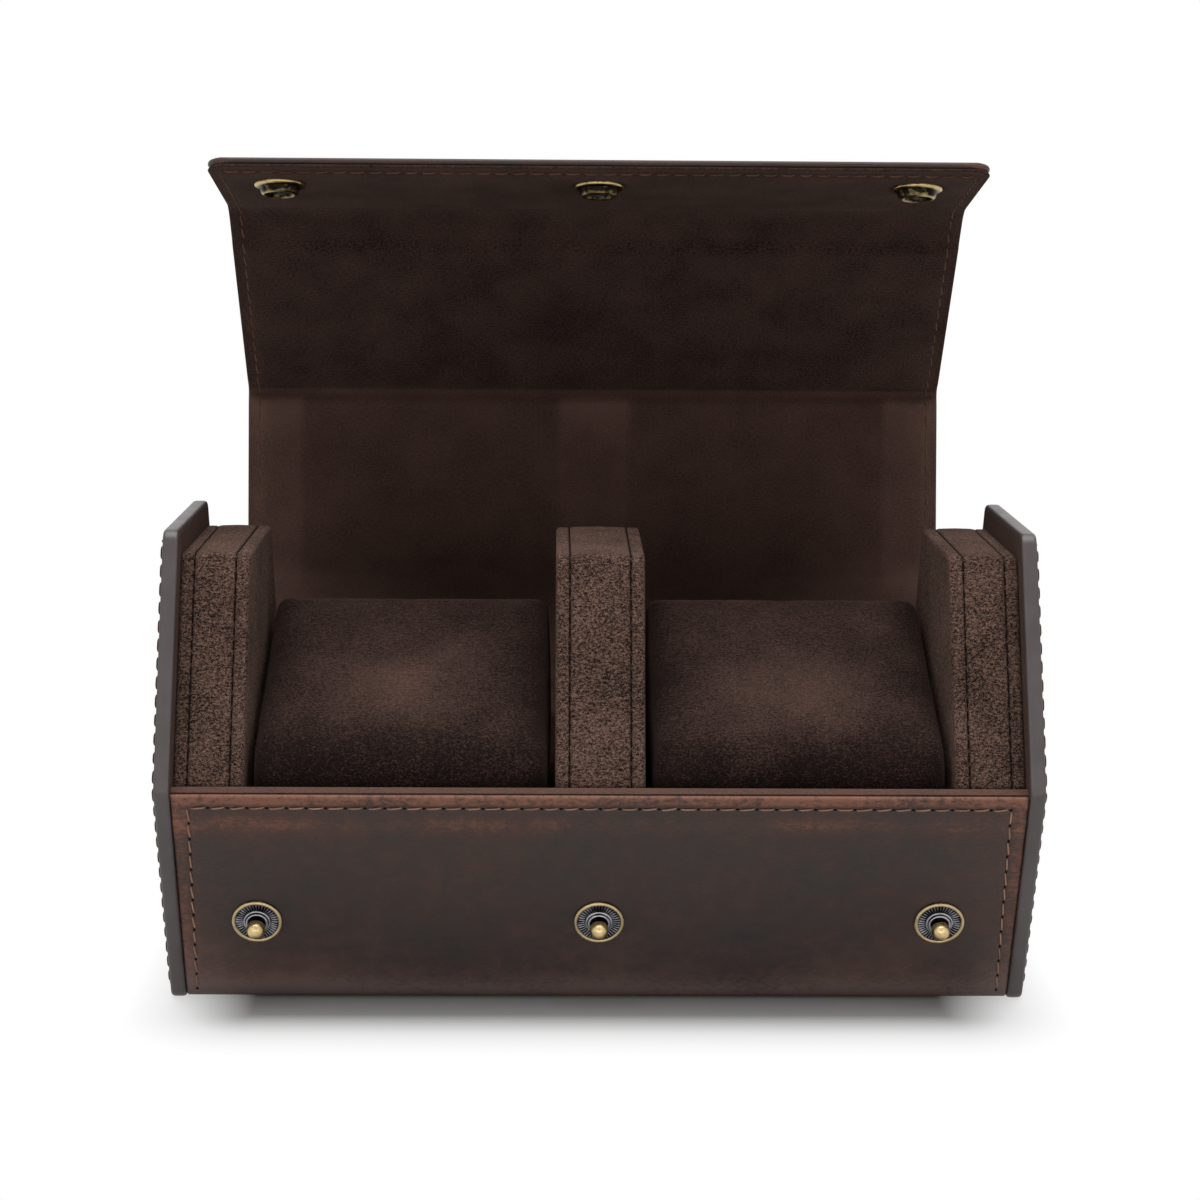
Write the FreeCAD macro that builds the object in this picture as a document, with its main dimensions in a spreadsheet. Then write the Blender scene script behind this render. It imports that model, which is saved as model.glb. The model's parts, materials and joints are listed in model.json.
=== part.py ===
import FreeCAD, Part
import Sketcher
import math
import os

# Hexagonal leather watch case for two watches, standing open.
# Millimetres. X runs along the case, Y to the back, Z up. The origin is the middle of the base.
# The two hexagonal end panels set every other outline: walls, dividers and lid are offsets of that hexagon.

SIZES = {
    # hexagonal end panels
    "case_length": 170.0,
    "base_depth": 48.0,
    "belt_depth": 86.0,
    "top_depth": 46.0,
    "belt_height": 46.5,
    "case_height": 94.0,
    "end_corner": 3.0,
    "end_leather": 1.2,
    "end_board": 1.2,
    "end_lining": 0.6,
    # trough: front wall, bottom and back wall
    "wall_inset": 0.6,
    "wall_leather": 1.4,
    "wall_board": 2.0,
    "wall_lining": 0.8,
    "wall_drop": 0.9,
    # lid panels and the creases between them
    "lid_inset": 0.6,
    "lid_leather": 1.3,
    "lid_board": 1.5,
    "lid_lining": 0.8,
    "lid_side_gap": 1.0,
    "crease_gap": 0.3,
    "board_setback": 2.4,
    "belt_bulge": 1.05,
    "front_board_stop": 4.2,
    "flap_board": 0.8,
    "flap_overhang": 12.5,
    "flap_corner": 5.0,
    # directions of the open lid's panels, from +Y towards +Z, in degrees
    "back_panel_angle": 25.0,
    "top_panel_angle": 81.0,
    "front_panel_angle": 129.0,
    "flap_angle": 167.0,
    # padded dividers
    "centre_divider": 17.4,
    "side_divider": 13.6,
    "divider_gap": 0.5,
    "divider_cover": 0.8,
    # watch cushions, in the tilted frame of their top face
    "cushion_gap": 1.2,
    "cushion_front_gap": 1.22,
    "cushion_back_gap": 0.54,
    "cushion_height": 50.2,
    "cushion_tilt_angle": 1.8,
    "cushion_rise": 62.7,
    "cushion_top_corner": 10.0,
    "cushion_low_corner": 16.0,
    "cushion_crown": 1.4,
    "cushion_waist": 0.6,
    "cushion_shoulder": 4.0,
    "cushion_end_draw": 3.2,
    "cushion_cover": 0.8,
    # press studs
    "stud_drop": 31.0,
    "stud_margin": 18.1,
    "stud_radius": 4.95,
    "stud_height": 0.75,
    "stud_band": 0.95,
    "stud_dish": 0.5,
    "stud_collar": 2.35,
    "stud_collar_rise": 0.25,
    "stud_neck": 1.35,
    "ball_radius": 1.875,
    "ball_rise": 2.1,
    "post_radius": 1.45,
    "post_fit": 0.1,
    "post_head": 4.2,
    "post_head_thickness": 0.5,
    "snap_gap": 0.15,
    "socket_radius": 5.3,
    "socket_height": 2.6,
    "socket_rim": 1.0,
    "socket_face": 3.7,
    "socket_bore": 2.15,
    "socket_mouth": 2.7,
    "socket_mouth_depth": 0.4,
    "spring_wire": 0.3,
    "spring_radius": 2.08,
    "cap_radius": 6.2,
    "cap_crown": 3.6,
    "cap_height": 1.3,
    "cap_rim": 0.5,
    "cap_post_radius": 2.3,
    "cap_post_wall": 0.3,
}
SNAP_COUNT = 3
SHOULDER_STEPS = 2
WIRE_FLATS = 3


class Cells:
    """Names a cell of the sheet in an expression: cells.belt_depth is 'dims.belt_depth'."""

    def __getattr__(self, name):
        if name not in SIZES:
            raise AttributeError(name)
        return "dims." + name


cells = Cells()
doc = FreeCAD.newDocument("watch_case")
dims = doc.addObject("Spreadsheet::Sheet", "dims")
for row, (name, number) in enumerate(SIZES.items(), start=1):
    dims.set(f"A{row}", name)
    dims.set(f"B{row}", str(number))
    dims.setAlias(f"B{row}", name)
doc.recompute()


# Lengths and points that follow from the driving sizes, as formulas in a second sheet
worked = doc.addObject("Spreadsheet::Sheet", "worked")
worked_rows = {}


def work(name, formula):
    """Keeps a formula under a name and returns the name for use in other expressions."""
    row = len(worked_rows) + 1
    worked_rows[name] = row
    worked.set(f"A{row}", name)
    worked.set(f"B{row}", "=" + str(formula))
    worked.setAlias(f"B{row}", name)
    worked.recompute()
    return "worked." + name


def work_point(name, point):
    """Keeps a point's depth and height as two named formulas."""
    return (work(name + "_depth", point[0]), work(name + "_height", point[1]))


def value(expression):
    return float(worked.evalExpression(str(expression)))


# Expressions for the hexagon. A slanted side is met at a height and at an inset square to that side.
LOW_SLOPE = work("low_slope", f"(({cells.belt_depth} - {cells.base_depth}) / (2 * {cells.belt_height}))")
UP_SLOPE = work(
    "up_slope",
    f"(({cells.belt_depth} - {cells.top_depth}) / (2 * ({cells.case_height} - {cells.belt_height})))",
)
LOW_SECANT = work("low_secant", f"sqrt(1 + {LOW_SLOPE} ^ 2)")
UP_SECANT = work("up_secant", f"sqrt(1 + {UP_SLOPE} ^ 2)")


def low(height, inset):
    """Half depth of the lower slanted side at a height, inset square to the side."""
    above = f"(({height}) - {cells.belt_height})"
    return f"({cells.belt_depth} / 2 + {LOW_SLOPE} * {above} - ({inset}) * {LOW_SECANT})"


def up(height, inset):
    """Half depth of the upper slanted side at a height, inset square to the side."""
    above = f"(({height}) - {cells.belt_height})"
    return f"({cells.belt_depth} / 2 - {UP_SLOPE} * {above} - ({inset}) * {UP_SECANT})"


def belt(low_inset, up_inset):
    """Height where the two slanted sides meet, each with its own inset."""
    return (
        f"({cells.belt_height} + (({low_inset}) * {LOW_SECANT} - ({up_inset}) * {UP_SECANT})"
        f" / ({LOW_SLOPE} + {UP_SLOPE}))"
    )


def span(start, end):
    """Distance between two points."""
    return f"sqrt((({end[0]}) - ({start[0]})) ^ 2 + (({end[1]}) - ({start[1]})) ^ 2)"


def front(point):
    """The same point on the front side of the case."""
    return (f"-({point[0]})", point[1])


# Layers of the wall and of the lid, as insets from the hexagon
WALL_OUT = cells.wall_inset
WALL_SKIN = work("wall_skin", f"({cells.wall_inset} + {cells.wall_leather} / 2)")
WALL_BOARD = work("wall_board", f"({cells.wall_inset} + {cells.wall_leather})")
WALL_LINING = work("wall_lining", f"({WALL_BOARD} + {cells.wall_board})")
WALL_IN = work("wall_in", f"({WALL_LINING} + {cells.wall_lining})")
FLOOR = work("floor", f"({cells.wall_leather} + {cells.wall_board} + {cells.wall_lining})")
LID_SKIN = work("lid_skin", f"({cells.lid_inset} + {cells.lid_leather} / 2)")
LID_IN = work(
    "lid_in",
    f"({cells.lid_inset} + {cells.lid_leather} + {cells.lid_board} + {cells.lid_lining})",
)
DIVIDER_IN = work("divider_in", f"({LID_IN} + {cells.divider_gap})")
END_THICKNESS = work("end_thickness", f"({cells.end_leather} + {cells.end_board} + {cells.end_lining})")
INNER_LENGTH = work("inner_length", f"({cells.case_length} - 2 * {END_THICKNESS})")
LID_WIDTH = work("lid_width", f"({INNER_LENGTH} - 2 * {cells.lid_side_gap})")

# Folds of the closed lid, on the middle of its leather
BACK_FOLD_HEIGHT = work("back_fold_height", belt(WALL_SKIN, LID_SKIN))
BACK_FOLD = (work("back_fold_depth", up(BACK_FOLD_HEIGHT, LID_SKIN)), BACK_FOLD_HEIGHT)
TOP_HEIGHT = work("top_height", f"({cells.case_height} - {LID_SKIN})")
TOP_BACK_FOLD = (work("top_fold_depth", up(TOP_HEIGHT, LID_SKIN)), TOP_HEIGHT)
TOP_FRONT_FOLD = front(TOP_BACK_FOLD)
BELT_POINT = (f"-({cells.belt_depth} / 2 + {cells.belt_bulge})", cells.belt_height)

# The closed flap lies parallel to the front wall, held off it by the press studs
FLAP_LINING_FACE = work(
    "flap_lining_face",
    f"({cells.lid_leather} / 2 + {cells.flap_board} + {cells.lid_lining})",
)
SNAP_STANDOFF = work("snap_standoff", f"({cells.stud_height} + {cells.snap_gap} + {cells.socket_height})")
FLAP_OUTSET = work("flap_outset", f"({SNAP_STANDOFF} + {FLAP_LINING_FACE} - {cells.wall_inset})")
FRONT_RUN = work_point("front_run", (
    f"{BELT_POINT[0]} - ({TOP_FRONT_FOLD[0]})",
    f"{BELT_POINT[1]} - {TOP_FRONT_FOLD[1]}",
))
FRONT_REACH = work(
    "front_reach",
    f"(-{low(TOP_FRONT_FOLD[1], '-' + FLAP_OUTSET)} - ({TOP_FRONT_FOLD[0]}))"
    f" / ({FRONT_RUN[0]} + {LOW_SLOPE} * {FRONT_RUN[1]})",
)
FLAP_FOLD = work_point("flap_fold", (
    f"{TOP_FRONT_FOLD[0]} + {FRONT_REACH} * {FRONT_RUN[0]}",
    f"{TOP_FRONT_FOLD[1]} + {FRONT_REACH} * {FRONT_RUN[1]}",
))
BACK_PANEL = work("back_panel", span(BACK_FOLD, TOP_BACK_FOLD))
TOP_PANEL = work("top_panel", span(TOP_BACK_FOLD, TOP_FRONT_FOLD))
FRONT_PANEL = work("front_panel", span(TOP_FRONT_FOLD, FLAP_FOLD))

# Studs on the front wall, measured down the slope from the belt edge, and the sockets that meet them
STUD_HEIGHT = work(
    "stud_height",
    f"({cells.belt_height} + ({WALL_OUT} * {LOW_SLOPE} - {cells.stud_drop}) / {LOW_SECANT})",
)
STUD_DEPTH = work("stud_depth", f"-{low(STUD_HEIGHT, WALL_OUT)}")
STUD_SPACING = work("stud_spacing", f"({cells.case_length} / 2 - {cells.stud_margin})")
FLAP_FOOT = work(
    "flap_foot",
    f"({cells.belt_height} - {FLAP_FOLD[1]} + {LOW_SLOPE} * ({FLAP_FOLD[0]} + {cells.belt_depth} / 2))"
    f" / {LOW_SECANT}",
)
SOCKET_REACH = work("socket_reach", f"({cells.stud_drop} - {FLAP_FOOT})")
FLAP_LENGTH = work("flap_length", f"({SOCKET_REACH} + {cells.flap_overhang})")

# Helpers that draw sketches bound to the sheet and turn them into features


def make_body(label, placement=None):
    body = doc.addObject("PartDesign::Body", label)
    body.Label = label
    if placement is not None:
        body.Placement = placement
    return body


def make_sketch(body, plane, offset=None):
    sketch = body.newObject("Sketcher::SketchObject", body.Label + "_sketch")
    support = [feature for feature in body.Origin.OriginFeatures if feature.Role == plane][0]
    sketch.AttachmentSupport = (support, [""])
    sketch.MapMode = "FlatFace"
    if offset is not None:
        sketch.AttachmentOffset = offset
    return sketch


def bind(sketch, joins, sized):
    """Adds all constraints at once, so that no curve flips, and binds the sized ones to expressions."""
    sketch.addConstraint(joins + [constraint for constraint, expression in sized])
    for index, (constraint, expression) in enumerate(sized, start=len(joins)):
        sketch.setExpression(f"Constraints[{index}]", str(expression))


def arc_middle(start, end, radius, outward):
    """Middle of a shallow arc over a chord. Outward is the right of the direction of travel."""
    chord = end - start
    half = chord.Length / 2
    rise = radius - math.sqrt(max(radius * radius - half * half, 0.0))
    right = FreeCAD.Vector(chord.y, -chord.x, 0).normalize()
    return (start + end) / 2 + right * (rise if outward else -rise)


def outline(body, plane, points, arcs=None, offset=None):
    """A closed outline. Points hold expressions; arcs maps a side's number to (radius, outward)."""
    sketch = make_sketch(body, plane, offset)
    arcs = arcs or {}
    corners = [FreeCAD.Vector(value(across), value(along), 0) for across, along in points]
    first_ends = []
    last_ends = []
    for side, start in enumerate(corners):
        end = corners[(side + 1) % len(corners)]
        if side in arcs:
            radius, outward = arcs[side]
            middle = arc_middle(start, end, value(radius), outward)
            turns_left = (middle - start).cross(end - middle).z > 0
            ends = (start, end) if turns_left else (end, start)
            sketch.addGeometry(Part.ArcOfCircle(ends[0], middle, ends[1]), False)
            first_ends.append(1 if turns_left else 2)
            last_ends.append(2 if turns_left else 1)
        else:
            sketch.addGeometry(Part.LineSegment(start, end), False)
            first_ends.append(1)
            last_ends.append(2)
    joins = []
    for side in range(len(corners)):
        following = (side + 1) % len(corners)
        meeting = (side, last_ends[side], following, first_ends[following])
        joins.append(Sketcher.Constraint("Coincident", *meeting))
    sized = []
    for side, (across, along) in enumerate(points):
        place = corners[side]
        sized.append((Sketcher.Constraint("DistanceX", -1, 1, side, first_ends[side], place.x), across))
        sized.append((Sketcher.Constraint("DistanceY", -1, 1, side, first_ends[side], place.y), along))
    for side, (radius, outward) in arcs.items():
        sized.append((Sketcher.Constraint("Radius", side, value(radius)), radius))
    bind(sketch, joins, sized)
    return sketch


def rounds(body, plane, centres, radius, offset=None):
    """Equal circles at expressed centres."""
    sketch = make_sketch(body, plane, offset)
    sized = []
    for number, (across, along) in enumerate(centres):
        centre = FreeCAD.Vector(value(across), value(along), 0)
        sketch.addGeometry(Part.Circle(centre, FreeCAD.Vector(0, 0, 1), value(radius)), False)
        sized.append((Sketcher.Constraint("DistanceX", -1, 1, number, 3, centre.x), across))
        sized.append((Sketcher.Constraint("DistanceY", -1, 1, number, 3, centre.y), along))
        sized.append((Sketcher.Constraint("Radius", number, value(radius)), radius))
    bind(sketch, [], sized)
    return sketch


def pad(body, sketch, length, symmetric=True):
    feature = body.newObject("PartDesign::Pad", body.Label + "_pad")
    feature.Profile = sketch
    feature.SideType = "Symmetric" if symmetric else "One side"
    feature.setExpression("Length", str(length))
    doc.recompute()
    return feature


def pocket(body, sketch, length):
    before = body.Shape.Volume
    feature = body.newObject("PartDesign::Pocket", body.Label + "_pocket")
    feature.Profile = sketch
    feature.SideType = "Symmetric"
    feature.setExpression("Length", str(length))
    doc.recompute()
    if not body.Shape.Volume < before:
        raise RuntimeError(f"{body.Label}: a pocket cut nothing")
    return feature


def turned(label, points, arcs, placement):
    """A row of like turned pieces along X, each spun about its local Z axis."""
    body = make_body(label, placement)
    body.AllowCompound = True
    first = FreeCAD.Placement(FreeCAD.Vector(-value(STUD_SPACING), 0, 0), FreeCAD.Rotation())
    sketch = outline(body, "XZ_Plane", points, arcs, first)
    sketch.setExpression("AttachmentOffset.Base.x", f"-{STUD_SPACING}")
    spin = body.newObject("PartDesign::Revolution", label + "_turn")
    spin.Profile = sketch
    spin.ReferenceAxis = (sketch, ["V_Axis"])
    spin.Angle = 360
    doc.recompute()
    row = body.newObject("PartDesign::LinearPattern", label + "_row")
    row.Originals = [spin]
    axis = [feature for feature in body.Origin.OriginFeatures if feature.Role == "X_Axis"][0]
    row.Direction = (axis, [""])
    row.setExpression("Length", f"2 * {STUD_SPACING}")
    row.Occurrences = SNAP_COUNT
    body.Tip = row
    doc.recompute()
    return body


def tilted(depth, height, angle):
    """A frame turned about X by an angle in degrees, at a depth and height."""
    place = FreeCAD.Vector(0, depth, height)
    return FreeCAD.Placement(place, FreeCAD.Rotation(FreeCAD.Vector(1, 0, 0), angle))


# Shell leather: one strip that forms the front wall, the bottom and the back wall.
# Its back edge ends in a round seat for the lid's first crease.
FRONT_TOP = work("front_top", f"({cells.belt_height} - {cells.wall_drop})")


def front_top(inset, below):
    """Point of the front wall's square-cut top, at an inset and a distance down the wall."""
    height = f"({FRONT_TOP} + ((({inset}) - {WALL_OUT}) * {LOW_SLOPE} - ({below})) / {LOW_SECANT})"
    return front((low(height, inset), height))


def back_top(inset, below):
    """Point of the back wall's square-cut top, measured down the wall from the crease."""
    height = f"({BACK_FOLD[1]} + ((({inset}) - {WALL_SKIN}) * {LOW_SLOPE} - ({below})) / {LOW_SECANT})"
    return (low(height, inset), height)


def floor_corner(inset, height):
    return (low(height, inset), height)


CREASE_SEAT = work("crease_seat", f"({cells.lid_leather} / 2 + {cells.crease_gap})")
ALONG_X = "YZ_Plane"

shell = make_body("shell_leather")
shell_points = [
    front_top(WALL_OUT, "0"),
    front(floor_corner(WALL_OUT, "0")),
    floor_corner(WALL_OUT, "0"),
    back_top(WALL_OUT, "0"),
    back_top(WALL_BOARD, "0"),
    floor_corner(WALL_BOARD, cells.wall_leather),
    front(floor_corner(WALL_BOARD, cells.wall_leather)),
    front_top(WALL_BOARD, "0"),
]
pad(shell, outline(shell, ALONG_X, shell_points), INNER_LENGTH)
pocket(shell, rounds(shell, ALONG_X, [BACK_FOLD], CREASE_SEAT), INNER_LENGTH)

# Frame of the studs: on the front leather, local Z out of the wall
wall_lean = math.degrees(math.atan(value(LOW_SLOPE)))
stud_frame = tilted(value(STUD_DEPTH), value(STUD_HEIGHT), 90 + wall_lean)
SNAP_ROW = [(f"-{STUD_SPACING}", "0"), ("0", "0"), (STUD_SPACING, "0")]
POST_HOLE = work("post_hole", f"({cells.post_radius} + {cells.post_fit})")
pocket(shell, rounds(shell, "XY_Plane", SNAP_ROW, POST_HOLE, stud_frame), f"3 * {cells.wall_leather}")

# Stiffening boards glued inside the leather. The front board has three seats for the post heads.
BOARD_TOP = work("board_top", f"({cells.wall_leather} + {cells.wall_board})")
front_board = make_body("front_board")
front_board_points = [
    front_top(WALL_BOARD, cells.wall_lining),
    front(floor_corner(WALL_BOARD, BOARD_TOP)),
    front(floor_corner(WALL_LINING, BOARD_TOP)),
    front_top(WALL_LINING, cells.wall_lining),
]
pad(front_board, outline(front_board, ALONG_X, front_board_points), INNER_LENGTH)
HEAD_SEAT = work("head_seat", f"({cells.post_head} + {cells.post_fit})")
HEAD_DEPTH = work(
    "head_depth",
    f"(2 * ({cells.wall_leather} + {cells.post_head_thickness} + {cells.post_fit}))",
)
pocket(front_board, rounds(front_board, "XY_Plane", SNAP_ROW, HEAD_SEAT, stud_frame), HEAD_DEPTH)

bottom_board = make_body("bottom_board")
bottom_board_points = [
    front(floor_corner(WALL_BOARD, cells.wall_leather)),
    floor_corner(WALL_BOARD, cells.wall_leather),
    floor_corner(WALL_BOARD, BOARD_TOP),
    front(floor_corner(WALL_BOARD, BOARD_TOP)),
]
pad(bottom_board, outline(bottom_board, ALONG_X, bottom_board_points), INNER_LENGTH)

BACK_BOARD_STOP = work("back_board_stop", f"({cells.board_setback} + {cells.wall_lining})")
back_board = make_body("back_board")
back_board_points = [
    floor_corner(WALL_BOARD, BOARD_TOP),
    back_top(WALL_BOARD, BACK_BOARD_STOP),
    back_top(WALL_LINING, BACK_BOARD_STOP),
    floor_corner(WALL_LINING, BOARD_TOP),
]
pad(back_board, outline(back_board, ALONG_X, back_board_points), INNER_LENGTH)

# Shell lining: suede over the boards, turned over the top of the front and back boards
shell_lining = make_body("shell_lining")
shell_lining_points = [
    front_top(WALL_BOARD, "0"),
    front_top(WALL_BOARD, cells.wall_lining),
    front_top(WALL_LINING, cells.wall_lining),
    front(floor_corner(WALL_LINING, BOARD_TOP)),
    floor_corner(WALL_LINING, BOARD_TOP),
    back_top(WALL_LINING, BACK_BOARD_STOP),
    back_top(WALL_BOARD, BACK_BOARD_STOP),
    back_top(WALL_BOARD, cells.board_setback),
    back_top(WALL_IN, cells.board_setback),
    floor_corner(WALL_IN, FLOOR),
    front(floor_corner(WALL_IN, FLOOR)),
    front_top(WALL_IN, "0"),
]
pad(shell_lining, outline(shell_lining, ALONG_X, shell_lining_points), INNER_LENGTH)

# End panels: three hexagonal layers with rounded corners, lining inside and leather outside
HEXAGON = [
    (f"-{cells.base_depth} / 2", "0"),
    (f"{cells.base_depth} / 2", "0"),
    (f"{cells.belt_depth} / 2", cells.belt_height),
    (f"{cells.top_depth} / 2", cells.case_height),
    (f"-{cells.top_depth} / 2", cells.case_height),
    (f"-{cells.belt_depth} / 2", cells.belt_height),
]


def end_layer(label, side, inner, thickness):
    """One hexagonal sheet of an end panel, its inner face at a distance from the middle of the case."""
    body = make_body(label)
    sheet = pad(body, outline(body, ALONG_X, HEXAGON), thickness)
    corners = [
        f"Edge{number}"
        for number, edge in enumerate(body.Shape.Edges, start=1)
        if abs(edge.tangentAt(edge.FirstParameter).x) > 0.99
    ]
    rounding = body.newObject("PartDesign::Fillet", label + "_corners")
    rounding.Base = (sheet, corners)
    rounding.setExpression("Radius", cells.end_corner)
    body.Tip = rounding
    middle = f"({side} * ({inner} + {thickness} / 2))"
    body.setExpression("Placement.Base.x", middle)
    doc.recompute()


for side, name in ((-1, "left"), (1, "right")):
    lining_face = f"{INNER_LENGTH} / 2"
    board_face = f"({lining_face} + {cells.end_lining})"
    leather_face = f"({board_face} + {cells.end_board})"
    end_layer(f"{name}_end_lining", side, lining_face, cells.end_lining)
    end_layer(f"{name}_end_board", side, board_face, cells.end_board)
    end_layer(f"{name}_end_leather", side, leather_face, cells.end_leather)

# Padded dividers: a foam core in a suede cover that is open underneath, standing on the lining
DIVIDER_BELT = work("divider_belt", belt(WALL_IN, DIVIDER_IN))
DIVIDER_TOP = work("divider_top", f"({cells.case_height} - {DIVIDER_IN})")
CORE_WALL = work("core_wall", f"({WALL_IN} + {cells.divider_cover})")
CORE_LID = work("core_lid", f"({DIVIDER_IN} + {cells.divider_cover})")
CORE_BELT = work("core_belt", belt(CORE_WALL, CORE_LID))
CORE_TOP = work("core_top", f"({DIVIDER_TOP} - {cells.divider_cover})")


def half_hexagons(right_side):
    """A closed outline from its back half, listed from the floor up."""
    return right_side + [front(point) for point in reversed(right_side)]


COVER_OUTLINE = half_hexagons([
    (low(FLOOR, WALL_IN), FLOOR),
    (up(DIVIDER_BELT, DIVIDER_IN), DIVIDER_BELT),
    (up(DIVIDER_TOP, DIVIDER_IN), DIVIDER_TOP),
])
CORE_OUTLINE = half_hexagons([
    (low(FLOOR, CORE_WALL), FLOOR),
    (up(CORE_BELT, CORE_LID), CORE_BELT),
    (up(CORE_TOP, CORE_LID), CORE_TOP),
])


def divider(name, middle, thickness):
    inside = f"({thickness} - 2 * {cells.divider_cover})"
    cover = make_body(f"{name}_divider_cover")
    pad(cover, outline(cover, ALONG_X, COVER_OUTLINE), thickness)
    pocket(cover, outline(cover, ALONG_X, CORE_OUTLINE), inside)
    core = make_body(f"{name}_divider_core")
    pad(core, outline(core, ALONG_X, CORE_OUTLINE), inside)
    for body in (cover, core):
        body.setExpression("Placement.Base.x", middle)


SIDE_MIDDLE = work("side_middle", f"({INNER_LENGTH} / 2 - {cells.side_divider} / 2)")
divider("left", f"-{SIDE_MIDDLE}", cells.side_divider)
divider("centre", "0", cells.centre_divider)
divider("right", SIDE_MIDDLE, cells.side_divider)

# Lid panels in their open places. Local Y runs along the panel and local Z towards its lining.
back_fold_place = (value(BACK_FOLD[0]), value(BACK_FOLD[1]))


def step(start, length, angle):
    """The next crease, one panel on from a crease."""
    turn = math.radians(angle)
    return (start[0] + length * math.cos(turn), start[1] + length * math.sin(turn))


back_angle = value(cells.back_panel_angle)
top_angle = value(cells.top_panel_angle)
front_angle = value(cells.front_panel_angle)
flap_angle = value(cells.flap_angle)
top_fold_place = step(back_fold_place, value(BACK_PANEL), back_angle)
front_fold_place = step(top_fold_place, value(TOP_PANEL), top_angle)
flap_fold_place = step(front_fold_place, value(FRONT_PANEL), front_angle)

HALF_SKIN = work("half_skin", f"({cells.lid_leather} / 2)")
BOARD_FACE = work("board_face", f"({HALF_SKIN} + {cells.lid_board})")
LINING_FACE = work("lining_face", f"({BOARD_FACE} + {cells.lid_lining})")


def band(start, end, inner, outer):
    """A rectangle along the panel between two distances from the middle of the leather."""
    return [(start, inner), (end, inner), (end, outer), (start, outer)]


def panel_leather(label, frame, length):
    """Leather of one panel: a bead on its own crease and a round seat for the next panel's bead."""
    body = make_body(label, frame)
    pad(body, outline(body, ALONG_X, band("0", length, f"-{HALF_SKIN}", HALF_SKIN)), LID_WIDTH)
    pad(body, rounds(body, ALONG_X, [("0", "0")], HALF_SKIN), LID_WIDTH)
    pocket(body, rounds(body, ALONG_X, [(length, "0")], CREASE_SEAT), LID_WIDTH)


def panel_sheet(label, frame, points):
    body = make_body(label, frame)
    pad(body, outline(body, ALONG_X, points), LID_WIDTH)


for name, place, angle, length in (
    ("lid_back", back_fold_place, back_angle, BACK_PANEL),
    ("lid_top", top_fold_place, top_angle, TOP_PANEL),
):
    frame = tilted(place[0], place[1], angle)
    last = f"({length} - {cells.board_setback})"
    panel_leather(f"{name}_leather", frame, length)
    panel_sheet(f"{name}_board", frame, band(cells.board_setback, last, HALF_SKIN, BOARD_FACE))
    panel_sheet(f"{name}_lining", frame, band(cells.board_setback, last, BOARD_FACE, LINING_FACE))

# The front panel's board stops above the front wall, and its lining steps down onto the leather there
front_frame = tilted(front_fold_place[0], front_fold_place[1], front_angle)
panel_leather("lid_front_leather", front_frame, FRONT_PANEL)
BOARD_LAST = work("board_last", f"({span(TOP_FRONT_FOLD, BELT_POINT)} - {cells.front_board_stop})")
LINING_LAST = work("lining_last", f"({FRONT_PANEL} - {cells.board_setback})")
LINING_STEP = work("lining_step", f"({BOARD_LAST} + {cells.lid_lining})")
THIN_FACE = work("thin_face", f"({HALF_SKIN} + {cells.lid_lining})")
panel_sheet("lid_front_board", front_frame, band(cells.board_setback, BOARD_LAST, HALF_SKIN, BOARD_FACE))
panel_sheet("lid_front_lining", front_frame, [
    (cells.board_setback, BOARD_FACE),
    (BOARD_LAST, BOARD_FACE),
    (BOARD_LAST, HALF_SKIN),
    (LINING_LAST, HALF_SKIN),
    (LINING_LAST, THIN_FACE),
    (LINING_STEP, THIN_FACE),
    (LINING_STEP, LINING_FACE),
    (cells.board_setback, LINING_FACE),
])

# Snap flap: leather, thin stiffener and lining with rounded free corners and three holes for the snaps
flap_frame = tilted(flap_fold_place[0], flap_fold_place[1], flap_angle)
CAP_HOLE = work("cap_hole", f"({cells.cap_post_radius} + {cells.post_fit})")
SOCKET_ROW = [(across, SOCKET_REACH) for across, along in SNAP_ROW]


def flap_sheet(label, start, inner, thickness):
    """One layer of the flap in plan, with its first face at a distance from the middle of the leather."""
    half = f"({LID_WIDTH} / 2)"
    body = make_body(label, flap_frame)
    points = [
        (f"-{half}", start),
        (half, start),
        (half, f"({FLAP_LENGTH} - {cells.flap_corner})"),
        (f"({half} - {cells.flap_corner})", FLAP_LENGTH),
        (f"({cells.flap_corner} - {half})", FLAP_LENGTH),
        (f"-{half}", f"({FLAP_LENGTH} - {cells.flap_corner})"),
    ]
    arcs = {2: (cells.flap_corner, True), 4: (cells.flap_corner, True)}
    sketch = outline(body, "XY_Plane", points, arcs)
    sketch.setExpression("AttachmentOffset.Base.z", inner)
    pad(body, sketch, thickness, symmetric=False)
    return body


flap_leather = flap_sheet("lid_flap_leather", "0", f"-{HALF_SKIN}", cells.lid_leather)
pad(flap_leather, rounds(flap_leather, ALONG_X, [("0", "0")], HALF_SKIN), LID_WIDTH)
FLAP_BOARD_FACE = work("flap_board_face", f"({HALF_SKIN} + {cells.flap_board})")
flap_board = flap_sheet("lid_flap_board", cells.board_setback, HALF_SKIN, cells.flap_board)
flap_lining = flap_sheet("lid_flap_lining", cells.board_setback, FLAP_BOARD_FACE, cells.lid_lining)
for body in (flap_leather, flap_board, flap_lining):
    pocket(body, rounds(body, "XY_Plane", SOCKET_ROW, CAP_HOLE), f"4 * {FLAP_LINING_FACE}")

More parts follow.
